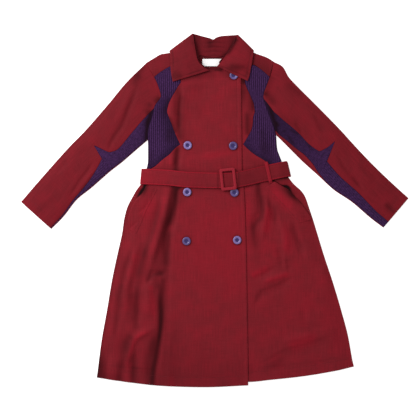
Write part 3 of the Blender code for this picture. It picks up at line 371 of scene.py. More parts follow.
# Collar fall: cuts from the roll line, x, y and z, to the outer edge, x, y and z. They go from the right
# point round the back of the neck to the left point
COLLAR_FALL = (
    (-0.0165, 0.4185, 0.015, -0.126, 0.385, 0.012), (-0.045, 0.4395, 0.0162, -0.1305, 0.41, 0.0112),
    (-0.0525, 0.454, 0.0172, -0.1325, 0.43, 0.0106), (-0.057, 0.478, 0.0182, -0.1325, 0.45, 0.0102),
    (-0.061, 0.502, 0.0186, -0.1335, 0.464, 0.0096), (-0.0635, 0.519, 0.0186, -0.1345, 0.472, 0.0086),
    (-0.065, 0.527, 0.018, -0.1358, 0.4762, 0.007), (-0.0655, 0.5288, 0.016, -0.1362, 0.4778, 0.0045),
    (-0.064, 0.5284, 0.014, -0.1345, 0.4776, 0.002), (-0.055, 0.5262, 0.013, -0.12, 0.4832, 0.001),
    (-0.035, 0.5206, 0.0126, -0.086, 0.4905, 0.001), (-0.014, 0.5152, 0.0122, -0.04, 0.474, 0.001),
    (-0.0045, 0.5118, 0.012, -0.002, 0.47, 0.001), (0.004, 0.5172, 0.0122, 0.03, 0.472, 0.001),
    (0.019, 0.5216, 0.0126, 0.06, 0.485, 0.001), (0.043, 0.5236, 0.013, 0.083, 0.4915, 0.001),
    (0.06, 0.5245, 0.0134, 0.103, 0.486, 0.001), (0.067, 0.5252, 0.0142, 0.114, 0.4812, 0.002),
    (0.069, 0.5246, 0.0162, 0.117, 0.4796, 0.0045), (0.0682, 0.5215, 0.018, 0.1172, 0.4778, 0.0074),
    (0.065, 0.514, 0.0186, 0.1165, 0.4722, 0.0092), (0.059, 0.5, 0.0186, 0.1145, 0.46, 0.0096),
    (0.046, 0.482, 0.0182, 0.112, 0.445, 0.0102), (0.028, 0.457, 0.0172, 0.108, 0.425, 0.0106),
    (0.015, 0.44, 0.0164, 0.1045, 0.405, 0.0118), (0.0055, 0.43, 0.0156, 0.0985, 0.387, 0.0128),
)
FALL_BULGE = 0.0012
FALL_RIPPLE = 0.5
FALL_STRETCH = 2.0

# Collar stand: cuts from the roll line down to the neck seam, written in the same way
COLLAR_STAND = (
    (-0.027, 0.4275, 0.0128, -0.0215, 0.425, 0.0105), (-0.045, 0.4425, 0.0138, -0.043, 0.4385, 0.006),
    (-0.053, 0.457, 0.0148, -0.048, 0.4515, 0.0044), (-0.0565, 0.478, 0.0156, -0.048, 0.46, 0.0032),
    (-0.0595, 0.5, 0.016, -0.046, 0.464, 0.003), (-0.06, 0.516, 0.016, -0.043, 0.465, 0.003),
    (-0.057, 0.5225, 0.0158, -0.037, 0.464, 0.003), (-0.035, 0.518, 0.0154, -0.023, 0.461, 0.003),
    (-0.014, 0.5126, 0.015, -0.008, 0.459, 0.003), (-0.0045, 0.5092, 0.0148, -0.003, 0.4585, 0.003),
    (0.004, 0.5146, 0.015, 0.002, 0.4585, 0.003), (0.019, 0.519, 0.0154, 0.012, 0.46, 0.003),
    (0.043, 0.521, 0.0157, 0.026, 0.462, 0.003), (0.058, 0.521, 0.0158, 0.035, 0.464, 0.003),
    (0.063, 0.516, 0.016, 0.039, 0.465, 0.003), (0.058, 0.501, 0.016, 0.039, 0.464, 0.003),
    (0.045, 0.483, 0.0156, 0.0375, 0.459, 0.0032), (0.027, 0.459, 0.0148, 0.0255, 0.4495, 0.0048),
    (0.014, 0.443, 0.0138, 0.0135, 0.435, 0.006), (0.017, 0.427, 0.0128, 0.013, 0.4245, 0.0105),
)

# Wrinkles across the inside of the neck
WRINKLE_HEIGHT = 0.00035
WRINKLE_PITCH = 0.013
WRINKLE_LEAN = 0.10
WRINKLE_REACH = 0.035

# Centre line of the belt across the front with the lean of its width
BELT_LINE = table(
    "x y lean",
    (-0.2195, 0.102, 0.1), (-0.15, 0.099, 0.05), (-0.074, 0.092, 0.05), (0.043, 0.0895, -0.04),
    (0.091, 0.097, -0.14), (0.142, 0.109, -0.22), (0.2185, 0.1255, -0.24),
)

# Section of the belt: share of the half width, and share of the half thickness on the outer or inner face
BELT_SECTION = (
    (-1.0, 0.3), (-0.985, 0.78), (-0.945, 1.0), (-0.85, 1.02), (-0.81, 0.7), (-0.77, 1.02), (-0.4, 1.08),
    (0.0, 1.1), (0.4, 1.08), (0.77, 1.02), (0.81, 0.7), (0.85, 1.02), (0.945, 1.0), (0.985, 0.78),
    (1.0, 0.3), (1.0, -0.3), (0.985, -0.78), (0.945, -1.0), (0.0, -1.0), (-0.945, -1.0), (-0.985, -0.78),
    (-1.0, -0.3),
)
SECTION_LIMIT = 1.04

# Slant pockets: the mouth edge of each welt and its inner edge, both from top to bottom
WELTS = {
    "left": (
        ((0.18, 0.087), (0.202, 0.0735), (0.22, 0.0615), (0.235, 0.0465), (0.247, 0.0345),
         (0.271, 0.0045), (0.2926, -0.026)),
        ((0.148, 0.066), (0.164, 0.049), (0.19, 0.023), (0.208, 0.004), (0.228, -0.017), (0.252, -0.038)),
    ),
    "right": (
        ((-0.206, 0.074), (-0.217, 0.052), (-0.236, 0.033), (-0.253, 0.001), (-0.266, -0.05)),
        ((-0.172, 0.064), (-0.19, 0.03), (-0.205, 0.0), (-0.222, -0.042), (-0.236, -0.07)),
    ),
}
WELT_LIFT = 0.0022
WELT_THIN = 0.25
WELT_OPEN = 0.25
WELT_OPEN_POWER = 0.7
WELT_TAPER = (0.35, 0.6)
WELT_END = 0.15
WELT_CLEAR = 0.3

# Topstitching: how far from the edges it runs, the raised edge, a stitch, and each run's start, end and count
HEM_STITCH = 0.029
EDGE_STITCH = 0.013
OUTER_STITCH = 0.003
CUFF_STITCH = 0.025
COLLAR_STITCH = 0.009
WELT_STITCH = 0.007
LOOP_STITCH = 0.0022
BELT_STITCH = 0.405
EDGE_LIFT = 0.0005
EDGE_LIFT_REACH = 0.004
STITCH_SINK = 0.0003
THREAD_WIDTH = 0.00055
STITCH_HALF = 0.36
EDGE_RUN = (0.395, -0.490, 500)
HEM_RUNS = {"right": (-0.345, 0.096, 300), "left": (0.106, 0.408, 300)}
WELT_RUN = (0.03, 0.97, 120)
WELT_ACROSS = 0.84
CUFF_INSETS = (0.03, 0.02)
CUFF_STATIONS = 90
LABEL_RUN = (-0.42, 0.42, 20)
LABEL_INSET = 0.002
BELT_THREAD = 0.42
LEAVES = (slice(3, 62), slice(-62, -3))

# Small gathers along the curved seams
PUCKER = 0.00040
PUCKER_REACH = 0.009
PUCKER_PITCH = 0.017
PUCKER_CLEAR = 0.02

# Two folds of the right sleeve, which show as creases and as shadows
SLEEVE_FOLD = (
    (-0.226, 0.4), (-0.234, 0.37), (-0.243, 0.34), (-0.256, 0.31), (-0.267, 0.28), (-0.279, 0.252),
    (-0.298, 0.224), (-0.312, 0.2), (-0.32, 0.176),
)
CUFF_FOLD = (
    (-0.358, 0.158), (-0.38, 0.12), (-0.404, 0.09), (-0.4225, 0.06), (-0.442, 0.032),
)

# Creases of the fronts
CREASES = creases(
    (0.012, 0.02, 0.009, ((-0.123, 0.1), (-0.131, 0.07), (-0.14, 0.035), (-0.147, 0.0),
     (-0.155, -0.032), (-0.165, -0.065), (-0.177, -0.105), (-0.19, -0.155), (-0.199, -0.2))),
    (0.01, 0.012, -0.007, ((-0.109, 0.1), (-0.109, 0.068), (-0.11, 0.036), (-0.115, 0.0),
     (-0.126, -0.032), (-0.136, -0.062), (-0.142, -0.1), (-0.143, -0.146), (-0.143, -0.185))),
    (0.01, 0.012, -0.003, ((-0.154, 0.06), (-0.165, 0.016), (-0.186, -0.052), (-0.2, -0.1))),
    (0.016, 0.016, 0.005, ((-0.197, -0.195), (-0.201, -0.268), (-0.196, -0.335))),
    (0.007, 0.007, -0.0042, ((-0.182, -0.172), (-0.193, -0.198), (-0.204, -0.226))),
    (0.008, 0.008, -0.0035, ((-0.143, -0.19), (-0.165, -0.189), (-0.19, -0.18))),
    (0.007, 0.012, -0.0056, ((-0.146, -0.195), (-0.152, -0.24), (-0.156, -0.308), (-0.158, -0.345),
     (-0.164, -0.408), (-0.172, -0.466), (-0.178, -0.53))),
    (0.009, 0.014, -0.0044, ((-0.234, -0.225), (-0.23, -0.29), (-0.231, -0.36))),
    (0.01, 0.013, 0.0055, ((-0.165, -0.345), (-0.2, -0.362), (-0.222, -0.374), (-0.24, -0.388),
     (-0.25, -0.412), (-0.259, -0.44), (-0.268, -0.49))),
    (0.01, 0.01, -0.0042, ((-0.232, -0.415), (-0.239, -0.45), (-0.245, -0.53))),
    (0.014, 0.014, -0.0036, ((-0.192, -0.4), (-0.198, -0.52))),
    (0.01, 0.01, -0.0036, ((-0.275, -0.44), (-0.284, -0.53))),
    (0.008, 0.01, -0.0032, ((-0.318, -0.4), (-0.33, -0.52))),
    (0.01, 0.014, -0.0036, ((-0.21, -0.09), (-0.23, -0.16), (-0.248, -0.239), (-0.252, -0.3))),
    (0.01, 0.01, -0.003, ((-0.249, -0.115), (-0.266, -0.18), (-0.281, -0.25))),
    (0.014, 0.014, 0.0034, ((-0.22, -0.074), (-0.247, -0.164), (-0.264, -0.239), (-0.272, -0.358))),
    (0.008, 0.008, -0.0026, ((-0.283, -0.23), (-0.292, -0.33), (-0.298, -0.39))),
    (0.005, 0.005, -0.0014, ((-0.199, 0.018), (-0.229, -0.009))),
    (0.005, 0.005, -0.0014, ((-0.227, -0.03), (-0.261, -0.061))),
    (0.012, 0.011, -0.0052, ((0.13, 0.09), (0.135, 0.041), (0.138, 0.001), (0.124, -0.029),
     (0.114, -0.075))),
    (0.01, 0.01, 0.0045, ((0.15, 0.062), (0.157, 0.017), (0.15, -0.034), (0.142, -0.1))),
    (0.009, 0.01, -0.0046, ((0.16, 0.045), (0.176, -0.007), (0.184, -0.05))),
    (0.012, 0.012, 0.0038, ((0.196, -0.02), (0.21, -0.074), (0.214, -0.14))),
    (0.01, 0.009, -0.0044, ((0.226, -0.03), (0.24, -0.071), (0.256, -0.114), (0.266, -0.15))),
    (0.008, 0.008, -0.003, ((0.186, -0.105), (0.199, -0.146), (0.203, -0.18))),
    (0.007, 0.007, -0.003, ((0.215, -0.14), (0.225, -0.186))),
    (0.009, 0.008, -0.0032, ((0.188, -0.168), (0.138, -0.195), (0.104, -0.208))),
    (0.009, 0.009, 0.0036, ((0.226, -0.186), (0.181, -0.201), (0.136, -0.219))),
    (0.012, 0.007, -0.0036, ((0.248, -0.192), (0.194, -0.224), (0.139, -0.248), (0.125, -0.273),
     (0.114, -0.298))),
    (0.02, 0.008, -0.0034, ((0.35, -0.372), (0.303, -0.394), (0.268, -0.405), (0.214, -0.422),
     (0.168, -0.446), (0.118, -0.466))),
    (0.01, 0.014, 0.0034, ((0.31, -0.368), (0.25, -0.382), (0.195, -0.396))),
    (0.009, 0.009, -0.0018, ((0.266, -0.28), (0.268, -0.328), (0.292, -0.348), (0.345, -0.351))),
    (0.02, 0.02, 0.0034, ((0.31, -0.145), (0.35, -0.275))),
    (0.01, 0.01, 0.0028, ((-0.124, 0.36), (-0.127, 0.296), (-0.116, 0.245))),
    (0.007, 0.007, -0.0026, ((-0.098, 0.372), (-0.104, 0.298), (-0.108, 0.225))),
    (0.008, 0.009, -0.0046, ((-0.109, 0.196), (-0.11, 0.17), (-0.112, 0.12))),
    (0.008, 0.008, 0.0022, ((-0.127, 0.172), (-0.127, 0.13))),
)

# Openings of the pockets: troughs in the fronts, with a painted shadow for the dark slit behind the welts
MOUTHS = creases(
    (0.0024, 0.0024, -0.008, ((0.17, 0.095), (0.178, 0.0885), (0.191, 0.0795), (0.202, 0.0735),
     (0.215, 0.0715), (0.2225, 0.0665), (0.2265, 0.06), (0.235, 0.0465), (0.244, 0.036)), 0.05, 0.42),
    (0.006, 0.006, -0.0075, ((0.198, 0.0755), (0.215, 0.0715), (0.2245, 0.0645),
     (0.231, 0.053)), 0.45, 0.45),
    (0.0072, 0.0046, -0.0085, ((-0.2085, 0.1), (-0.21, 0.0765), (-0.213, 0.0675), (-0.2198, 0.0585),
     (-0.225, 0.0495), (-0.2318, 0.0405), (-0.24, 0.029)), 0.05, 0.38),
)
# Trough depth at which a pocket's painted shadow is darkest
MOUTH_DEPTH = 0.0075

# Places where little light reaches the cloth, drawn like creases with a strength for a height
SHADOWS = creases(
    (0.011, 0.018, 0.64, ((-0.113, 0.095), (-0.116, 0.06), (-0.1175, 0.03), (-0.1245, 0.0),
     (-0.134, -0.03), (-0.152, -0.062), (-0.163, -0.09)), 0.02, 0.35),
    (0.011, 0.011, 0.14, ((-0.117, 0.1), (-0.121, 0.055), (-0.123, 0.02)), 0.05, 0.5),
    (0.014, 0.016, 0.22, ((-0.15, -0.05), (-0.158, -0.09), (-0.164, -0.13), (-0.168, -0.17),
     (-0.172, -0.22)), 0.25, 0.25),
    (0.012, 0.013, 0.45, ((-0.134, -0.045), (-0.14, -0.075), (-0.142, -0.12), (-0.145, -0.16),
     (-0.152, -0.19)), 0.2, 0.25),
    (0.012, 0.012, 0.3, ((-0.148, -0.165), (-0.151, -0.19), (-0.153, -0.225)), 0.3, 0.3),
    (0.014, 0.018, 0.28, ((-0.152, -0.2), (-0.158, -0.235), (-0.158, -0.275), (-0.152, -0.33),
     (-0.148, -0.4)), 0.12, 0.7),
    (0.014, 0.013, 0.18, ((-0.177, -0.352), (-0.18, -0.4), (-0.18, -0.44), (-0.183, -0.48),
     (-0.184, -0.53)), 0.15, 0.05),
    (0.01, 0.01, 0.2, ((-0.19, -0.198), (-0.176, -0.215), (-0.172, -0.245)), 0.3, 0.4),
    (0.02, 0.02, 0.14, ((-0.15, -0.36), (-0.155, -0.44), (-0.165, -0.53)), 0.3, 0.05),
    (0.01, 0.01, 0.16, ((-0.246, -0.372), (-0.256, -0.388)), 0.4, 0.4),
    (0.008, 0.008, 0.46, ((-0.158, -0.2), (-0.164, -0.235), (-0.165, -0.27), (-0.162, -0.31),
     (-0.1625, -0.345), (-0.1655, -0.38), (-0.171, -0.415), (-0.177, -0.445), (-0.183, -0.475),
     (-0.186, -0.51), (-0.189, -0.57)), 0.3, 0.2),
    (0.005, 0.006, 0.3, ((-0.162, -0.29), (-0.162, -0.32), (-0.1635, -0.345), (-0.1665, -0.38),
     (-0.172, -0.415)), 0.35, 0.35),
    (0.013, 0.01, 0.21, ((-0.153, -0.2), (-0.155, -0.26), (-0.155, -0.32), (-0.157, -0.36),
     (-0.161, -0.4)), 0.2, 0.3),
    (0.011, 0.016, 0.38, ((-0.176, -0.356), (-0.185, -0.39), (-0.19, -0.43), (-0.195, -0.46),
     (-0.197, -0.5), (-0.199, -0.57)), 0.2, 0.05),
    (0.008, 0.008, 0.38, ((-0.146, -0.188), (-0.168, -0.19), (-0.186, -0.194), (-0.196, -0.205),
     (-0.204, -0.224)), 0.25, 0.35),
    (0.01, 0.01, 0.26, ((-0.152, 0.065), (-0.163, 0.03), (-0.17, 0.0), (-0.185, -0.06), (-0.196, -0.09),
     (-0.205, -0.12), (-0.215, -0.16), (-0.225, -0.195), (-0.232, -0.24), (-0.234, -0.29),
     (-0.236, -0.33), (-0.24, -0.372)), 0.2, 0.06),
    (0.009, 0.009, 0.26, ((-0.2, -0.09), (-0.212, -0.125), (-0.222, -0.155), (-0.233, -0.19),
     (-0.242, -0.225)), 0.3, 0.3),
    (0.012, 0.012, 0.13, ((-0.16, 0.04), (-0.162, 0.005), (-0.172, -0.05), (-0.188, -0.1)), 0.2, 0.3),
    (0.01, 0.01, 0.13, ((-0.25, -0.235), (-0.25, -0.345)), 0.2, 0.2),
    (0.008, 0.008, 0.16, ((-0.279, -0.21), (-0.281, -0.31)), 0.2, 0.3),
    (0.028, 0.028, 0.13, ((-0.302, -0.34), (-0.296, -0.4), (-0.286, -0.45)), 0.3, 0.3),
    (0.012, 0.012, 0.17, ((-0.252, -0.345), (-0.25, -0.385), (-0.258, -0.412),
     (-0.27, -0.435)), 0.3, 0.3),
    (0.016, 0.016, 0.2, ((-0.338, -0.497), (-0.3, -0.5), (-0.26, -0.505)), 0.15, 0.5),
    (0.008, 0.008, 0.6, ((-0.216, 0.076), (-0.196, 0.073)), 0.2, 0.5),
    (0.005, 0.005, 0.6, ((0.204, 0.1), (0.228, 0.101)), 0.2, 0.05),
    (0.007, 0.007, 0.32, ((-0.124, 0.069), (-0.092, 0.067)), 0.3, 0.3),
    (0.014, 0.01, 0.14, ((-0.231, -0.225), (-0.231, -0.325)), 0.3, 0.3),
    (0.014, 0.016, 0.1, ((-0.24, -0.19), (-0.246, -0.25), (-0.242, -0.31))),
    (0.01, 0.011, 0.26, ((-0.24, -0.085), (-0.25, -0.115), (-0.26, -0.145), (-0.271, -0.18),
     (-0.279, -0.22), (-0.287, -0.26), (-0.289, -0.3), (-0.294, -0.34), (-0.303, -0.4)), 0.3, 0.25),
    (0.014, 0.014, 0.36, ((-0.25, -0.36), (-0.262, -0.383), (-0.268, -0.405), (-0.274, -0.44),
     (-0.281, -0.48), (-0.286, -0.54)), 0.18, 0.1),
    (0.016, 0.011, 0.5, ((-0.233, -0.4), (-0.24, -0.44), (-0.243, -0.48), (-0.245, -0.56)), 0.5, 0.05),
    (0.018, 0.018, 0.6, ((-0.34, -0.385), (-0.343, -0.45), (-0.343, -0.54)), 0.6, 0.05),
    (0.045, 0.045, 0.07, ((-0.155, -0.415), (-0.06, -0.43), (0.03, -0.44)), 0.15, 0.4),
    (0.022, 0.03, 0.13, ((-0.122, -0.27), (-0.126, -0.4), (-0.13, -0.56)), 0.4, 0.02),
    (0.05, 0.05, 0.15, ((-0.16, -0.5), (-0.02, -0.5), (0.095, -0.49)), 0.1, 0.1),
    (0.01, 0.01, 0.46, ((0.128, 0.095), (0.132, 0.06), (0.138, 0.025), (0.143, 0.0), (0.139, -0.02),
     (0.126, -0.036), (0.117, -0.055), (0.116, -0.08), (0.12, -0.11), (0.124, -0.145)), 0.02, 0.55),
    (0.008, 0.008, 0.28, ((0.175, 0.032), (0.18, -0.005), (0.185, -0.05)), 0.35, 0.35),
    (0.008, 0.008, 0.26, ((0.228, -0.025), (0.239, -0.062), (0.246, -0.085), (0.257, -0.103),
     (0.264, -0.13)), 0.25, 0.35),
    (0.009, 0.009, 0.16, ((0.221, -0.13), (0.227, -0.19)), 0.4, 0.4),
    (0.008, 0.009, 0.15, ((0.226, -0.21), (0.196, -0.229), (0.165, -0.243), (0.14, -0.255),
     (0.124, -0.272), (0.112, -0.298)), 0.25, 0.3),
    (0.02, 0.009, 0.14, ((0.345, -0.368), (0.318, -0.385), (0.275, -0.407), (0.23, -0.421),
     (0.2, -0.44), (0.165, -0.462), (0.115, -0.478)), 0.15, 0.15),
    (0.014, 0.012, 0.15, ((0.215, -0.432), (0.185, -0.458), (0.15, -0.472)), 0.4, 0.4),
    (0.01, 0.01, 0.22, ((0.274, -0.018), (0.294, -0.036)), 0.4, 0.3),
    (0.011, 0.011, 0.34, ((0.15, 0.084), (0.18, 0.09), (0.203, 0.096), (0.224, 0.1)), 0.2, 0.05),
    (0.012, 0.012, 0.5, ((0.212, 0.068), (0.228, 0.05), (0.237, 0.03)), 0.3, 0.4),
    (0.013, 0.013, 0.22, ((0.234, 0.026), (0.255, 0.008), (0.272, -0.01), (0.288, -0.036)), 0.15, 0.3),
    (0.01, 0.01, 0.16, ((0.145, 0.055), (0.15, 0.035), (0.147, 0.008)), 0.3, 0.4),
    (0.012, 0.012, 0.16, ((0.108, -0.028), (0.113, -0.065), (0.124, -0.095), (0.125, -0.13)), 0.2, 0.3),
    (0.014, 0.014, 0.13, ((0.095, -0.45), (0.106, -0.495)), 0.3, 0.1),
    (0.02, 0.02, 0.08, ((0.338, -0.34), (0.372, -0.42))),
    (0.014, 0.01, 0.36, ((-0.101, 0.362), (-0.103, 0.335), (-0.106, 0.31), (-0.106, 0.295),
     (-0.102, 0.275), (-0.104, 0.255), (-0.104, 0.235), (-0.101, 0.2)), 0.16, 0.1),
    (0.008, 0.008, 0.44, ((-0.14, 0.29), (-0.134, 0.268), (-0.126, 0.248), (-0.117, 0.226)), 0.25, 0.2),
    (0.01, 0.01, 0.24, ((-0.102, 0.392), (-0.111, 0.365), (-0.116, 0.338)), 0.1, 0.3),
    (0.008, 0.008, 0.16, ((-0.112, 0.31), (-0.107, 0.27), (-0.108, 0.235)), 0.3, 0.3),
    (0.006, 0.006, 0.38, ((-0.134, 0.35), (-0.141, 0.327), (-0.149, 0.298)), 0.3, 0.4),
    (0.007, 0.007, 0.44, ((0.104, 0.368), (0.112, 0.338), (0.115, 0.31), (0.115, 0.285)), 0.3, 0.3),
    (0.04, 0.04, 0.08, ((-0.07, 0.39), (-0.075, 0.32), (-0.07, 0.26)), 0.2, 0.4),
    (0.008, 0.008, 0.48, ((0.087, 0.404), (0.085, 0.37)), 0.2, 0.5),
    (0.014, 0.016, 0.16, ((-0.11, 0.39), (-0.121, 0.33), (-0.124, 0.29), (-0.115, 0.24),
     (-0.107, 0.2)), 0.15, 0.15),
    (0.01, 0.01, 0.54, ((-0.11, 0.205), (-0.113, 0.17), (-0.116, 0.135), (-0.117, 0.1)), 0.25, 0.05),
    (0.009, 0.006, 0.42, ((0.087, 0.402), (0.084, 0.36), (0.085, 0.33), (0.09, 0.302)), 0.05, 0.5),
    (0.007, 0.007, 0.34, ((0.093, 0.302), (0.096, 0.275), (0.096, 0.255), (0.098, 0.22)), 0.25, 0.15),
    (0.013, 0.012, 0.3, ((0.096, 0.378), (0.103, 0.34), (0.106, 0.3), (0.106, 0.255),
     (0.101, 0.21)), 0.1, 0.2),
    (0.018, 0.018, 0.1, ((0.092, 0.175), (0.13, 0.135), (0.18, 0.12)), 0.2, 0.1),
    (0.01, 0.012, 0.12, ((-0.098, 0.362), (-0.06, 0.371), (-0.01, 0.378)), 0.3, 0.4),
    (0.006, 0.006, 0.42, ((-0.112, 0.385), (-0.06, 0.402), (-0.02, 0.416), (0.01, 0.4215),
     (0.03, 0.42)), 0.15, 0.2),
    (0.01, 0.01, 0.24, ((-0.075, 0.391), (-0.02, 0.404), (0.025, 0.408))),
    (0.004, 0.005, 0.44, ((-0.004, 0.425), (0.012, 0.4215), (0.03, 0.416)), 0.2, 0.4),
    (0.006, 0.012, 0.24, ((0.008, 0.422), (0.04, 0.408), (0.066, 0.396)), 0.25, 0.25),
    (0.003, 0.003, 0.12, ((0.408, -0.43), (0.35, -0.4445), (0.28, -0.455), (0.2, -0.4635),
     (0.11, -0.47))),
    (0.003, 0.003, 0.12, ((-0.35, -0.461), (-0.25, -0.47), (-0.17, -0.478))),
)

# Painted highlights: places painted lighter and redder, towards the brighter thread, drawn in the same way
PAINTED_HIGHLIGHTS = creases(
    (0.006, 0.006, 0.5, ((-0.143, 0.07), (-0.151, 0.03), (-0.158, 0.0), (-0.166, -0.03),
     (-0.174, -0.06), (-0.186, -0.1), (-0.199, -0.148), (-0.212, -0.2)), 0.15, 0.6),
    (0.008, 0.008, 0.2, ((-0.236, -0.14), (-0.246, -0.175), (-0.258, -0.22))),
    (0.008, 0.008, 0.5, ((-0.186, -0.215), (-0.19, -0.24), (-0.186, -0.27), (-0.182, -0.32),
     (-0.178, -0.345))),
    (0.007, 0.007, 0.65, ((-0.178, -0.348), (-0.2, -0.362), (-0.225, -0.372), (-0.24, -0.39),
     (-0.25, -0.42), (-0.262, -0.46))),
    (0.022, 0.022, 0.6, ((-0.185, 0.045), (-0.2, 0.0), (-0.235, -0.02))),
    (0.008, 0.008, 0.4, ((-0.237, -0.125), (-0.243, -0.16))),
    (0.008, 0.008, 0.5, ((-0.19, -0.222), (-0.192, -0.24))),
    (0.012, 0.012, 0.45, ((-0.254, -0.45), (-0.262, -0.48))),
    (0.01, 0.01, 0.6, ((-0.13, -0.48), (-0.13, -0.53)), 0.5, 0.05),
    (0.06, 0.06, 0.36, ((-0.02, 0.06), (-0.03, -0.1), (-0.04, -0.26))),
    (0.045, 0.045, 0.4, ((0.062, 0.06), (0.06, -0.1), (0.055, -0.33)), 0.2, 0.3),
    (0.01, 0.01, 0.5, ((0.1, 0.055), (0.101, -0.065))),
    (0.01, 0.012, 1.0, ((0.163, 0.018), (0.16, -0.03), (0.152, -0.08)), 0.2, 0.25),
    (0.012, 0.012, 0.45, ((0.172, -0.085), (0.18, -0.115), (0.184, -0.148))),
    (0.01, 0.01, 0.6, ((0.216, -0.18), (0.212, -0.205))),
    (0.014, 0.014, 0.4, ((0.222, -0.05), (0.222, -0.14))),
    (0.02, 0.02, 0.4, ((0.15, -0.08), (0.158, -0.135))),
    (0.01, 0.01, 0.4, ((0.206, -0.015), (0.214, -0.08), (0.213, -0.15))),
    (0.01, 0.01, 0.9, ((0.104, -0.198), (0.13, -0.186), (0.165, -0.17)), 0.2, 0.2),
    (0.009, 0.009, 0.75, ((0.138, -0.215), (0.18, -0.204), (0.222, -0.189))),
    (0.018, 0.018, 0.75, ((0.205, -0.404), (0.24, -0.402), (0.28, -0.388), (0.312, -0.364))),
    (0.05, 0.05, 0.25, ((0.19, -0.25), (0.31, -0.31))),
    (0.03, 0.03, 0.25, ((0.3, -0.12), (0.345, -0.27), (0.39, -0.44)), 0.3, 0.05),
    (0.016, 0.016, 0.75, ((0.15, 0.074), (0.185, 0.052), (0.213, 0.02), (0.24, -0.014))),
    (0.01, 0.012, 0.55, ((0.074, 0.179), (0.04, 0.172), (0.0, 0.166), (-0.035, 0.158), (-0.062, 0.151))),
    (0.008, 0.008, 0.45, ((-0.133, 0.168), (-0.132, 0.13))),
    (0.01, 0.01, 0.3, ((0.106, 0.166), (0.128, 0.15))),
)

# Ridges of the right front where it laps over the left one
LAP_RIDGES = creases(
    (0.004, 0.004, 0.0012, ((0.018, 0.1725), (-0.011, 0.171), (-0.0335, 0.163))),
    (0.012, 0.012, 0.0008, ((-0.06, 0.33), (-0.052, 0.262))),
    (0.014, 0.014, 0.0008, ((0.03, -0.19), (0.01, -0.3))),
)

# Creases of the sleeves
SLEEVE_CREASES = creases(
    (0.008, 0.007, -0.0024, SLEEVE_FOLD, 0.32, 0.1),
    (0.012, 0.01, 0.0016, ((-0.254, 0.365), (-0.268, 0.318), (-0.288, 0.276), (-0.312, 0.245))),
    (0.005, 0.005, -0.0016, CUFF_FOLD),
    (0.006, 0.006, 0.0022, ((-0.352, 0.134), (-0.391, 0.08), (-0.42, 0.04), (-0.438, 0.012))),
    (0.008, 0.008, -0.0015, ((-0.43, 0.16), (-0.478, 0.108))),
    (0.006, 0.006, -0.0022, ((0.294, 0.2955), (0.312, 0.256), (0.3305, 0.2235))),
    (0.006, 0.006, -0.0022, ((0.239, 0.269), (0.257, 0.24), (0.268, 0.222))),
    (0.007, 0.007, -0.0034, ((0.362, 0.175), (0.392, 0.127), (0.412, 0.103), (0.43, 0.081),
     (0.444, 0.0585), (0.458, 0.051))),
    (0.007, 0.007, -0.0024, ((0.432, 0.133), (0.466, 0.113), (0.498, 0.089))),
    (0.009, 0.009, 0.0018, ((0.405, 0.145), (0.445, 0.108), (0.48, 0.072))),
    (0.009, 0.009, -0.0022, ((0.512, 0.025), (0.537, -0.003))),
)

# Places of the sleeves, the collar, the ribbed panels and the gussets where little light reaches the cloth
SLEEVE_SHADOWS = creases(
    (0.007, 0.006, 0.13, SLEEVE_FOLD, 0.3, 0.08),
    (0.005, 0.005, 0.12, CUFF_FOLD),
    (0.01, 0.01, 0.42, ((-0.16, 0.338), (-0.172, 0.33), (-0.178, 0.318)), 0.2, 0.3),
    (0.014, 0.012, 0.36, ((-0.19, 0.305), (-0.198, 0.292), (-0.206, 0.282))),
    (0.012, 0.012, 0.28, ((0.146, 0.342), (0.156, 0.372), (0.17, 0.412)), 0.1, 0.2),
    (0.02, 0.016, 0.14, ((0.17, 0.305), (0.21, 0.275), (0.25, 0.245), (0.29, 0.205))),
    (0.012, 0.012, -0.12, ((0.18, 0.44), (0.19, 0.42))),
    (0.008, 0.008, 0.1, ((-0.54, -0.014), (-0.516, 0.01), (-0.494, 0.03), (-0.46, 0.052),
     (-0.43, 0.078)), 0.1, 0.4),
    (0.012, 0.012, 0.26, ((-0.215, 0.44), (-0.232, 0.405), (-0.245, 0.375)), 0.1, 0.5),
    (0.016, 0.016, 0.16, ((-0.22, 0.415), (-0.236, 0.388), (-0.25, 0.368)), 0.3, 0.3),
    (0.01, 0.01, 0.24, ((-0.19, 0.325), (-0.2, 0.306)), 0.3, 0.3),
    (0.007, 0.007, 0.16, ((0.298, 0.29), (0.314, 0.258), (0.332, 0.225))),
    (0.007, 0.007, 0.18, ((0.405, 0.108), (0.42, 0.09), (0.436, 0.07))),
    (0.009, 0.009, 0.3, ((0.508, 0.022), (0.522, 0.01), (0.542, -0.008)), 0.3, 0.2),
    (0.012, 0.012, 0.18, ((0.205, 0.385), (0.235, 0.362), (0.268, 0.335))),
    (0.012, 0.01, 0.3, ((0.146, 0.356), (0.165, 0.335), (0.19, 0.31)), 0.15, 0.4),
)
COLLAR_SHADOWS = creases(
    (0.006, 0.006, 0.6, ((-0.036, 0.4315), (-0.005, 0.43), (0.01, 0.4255), (0.028, 0.42)), 0.1, 0.1),
    (0.006, 0.006, 0.6, ((0.067, 0.514), (0.056, 0.494), (0.044, 0.475), (0.03, 0.461)), 0.05, 0.25),
    (0.006, 0.007, 0.32, ((0.036, 0.474), (0.031, 0.467), (0.024, 0.457)), 0.4, 0.2),
    (0.005, 0.005, 0.12, ((-0.064, 0.515), (-0.061, 0.49), (-0.057, 0.468), (-0.05, 0.45)), 0.2, 0.3),
    (0.014, 0.014, 0.26, ((-0.128, 0.413), (-0.112, 0.403), (-0.09, 0.404)), 0.2, 0.4),
    (0.01, 0.014, 0.44, ((0.026, 0.428), (0.05, 0.43), (0.076, 0.43), (0.104, 0.434)), 0.35, 0.5),
    (0.016, 0.018, 0.1, ((0.096, 0.47), (0.098, 0.445), (0.098, 0.405)), 0.35, 0.3),
    (0.012, 0.01, 0.16, ((0.02, 0.424), (0.05, 0.411), (0.08, 0.4)), 0.25, 0.3),
)
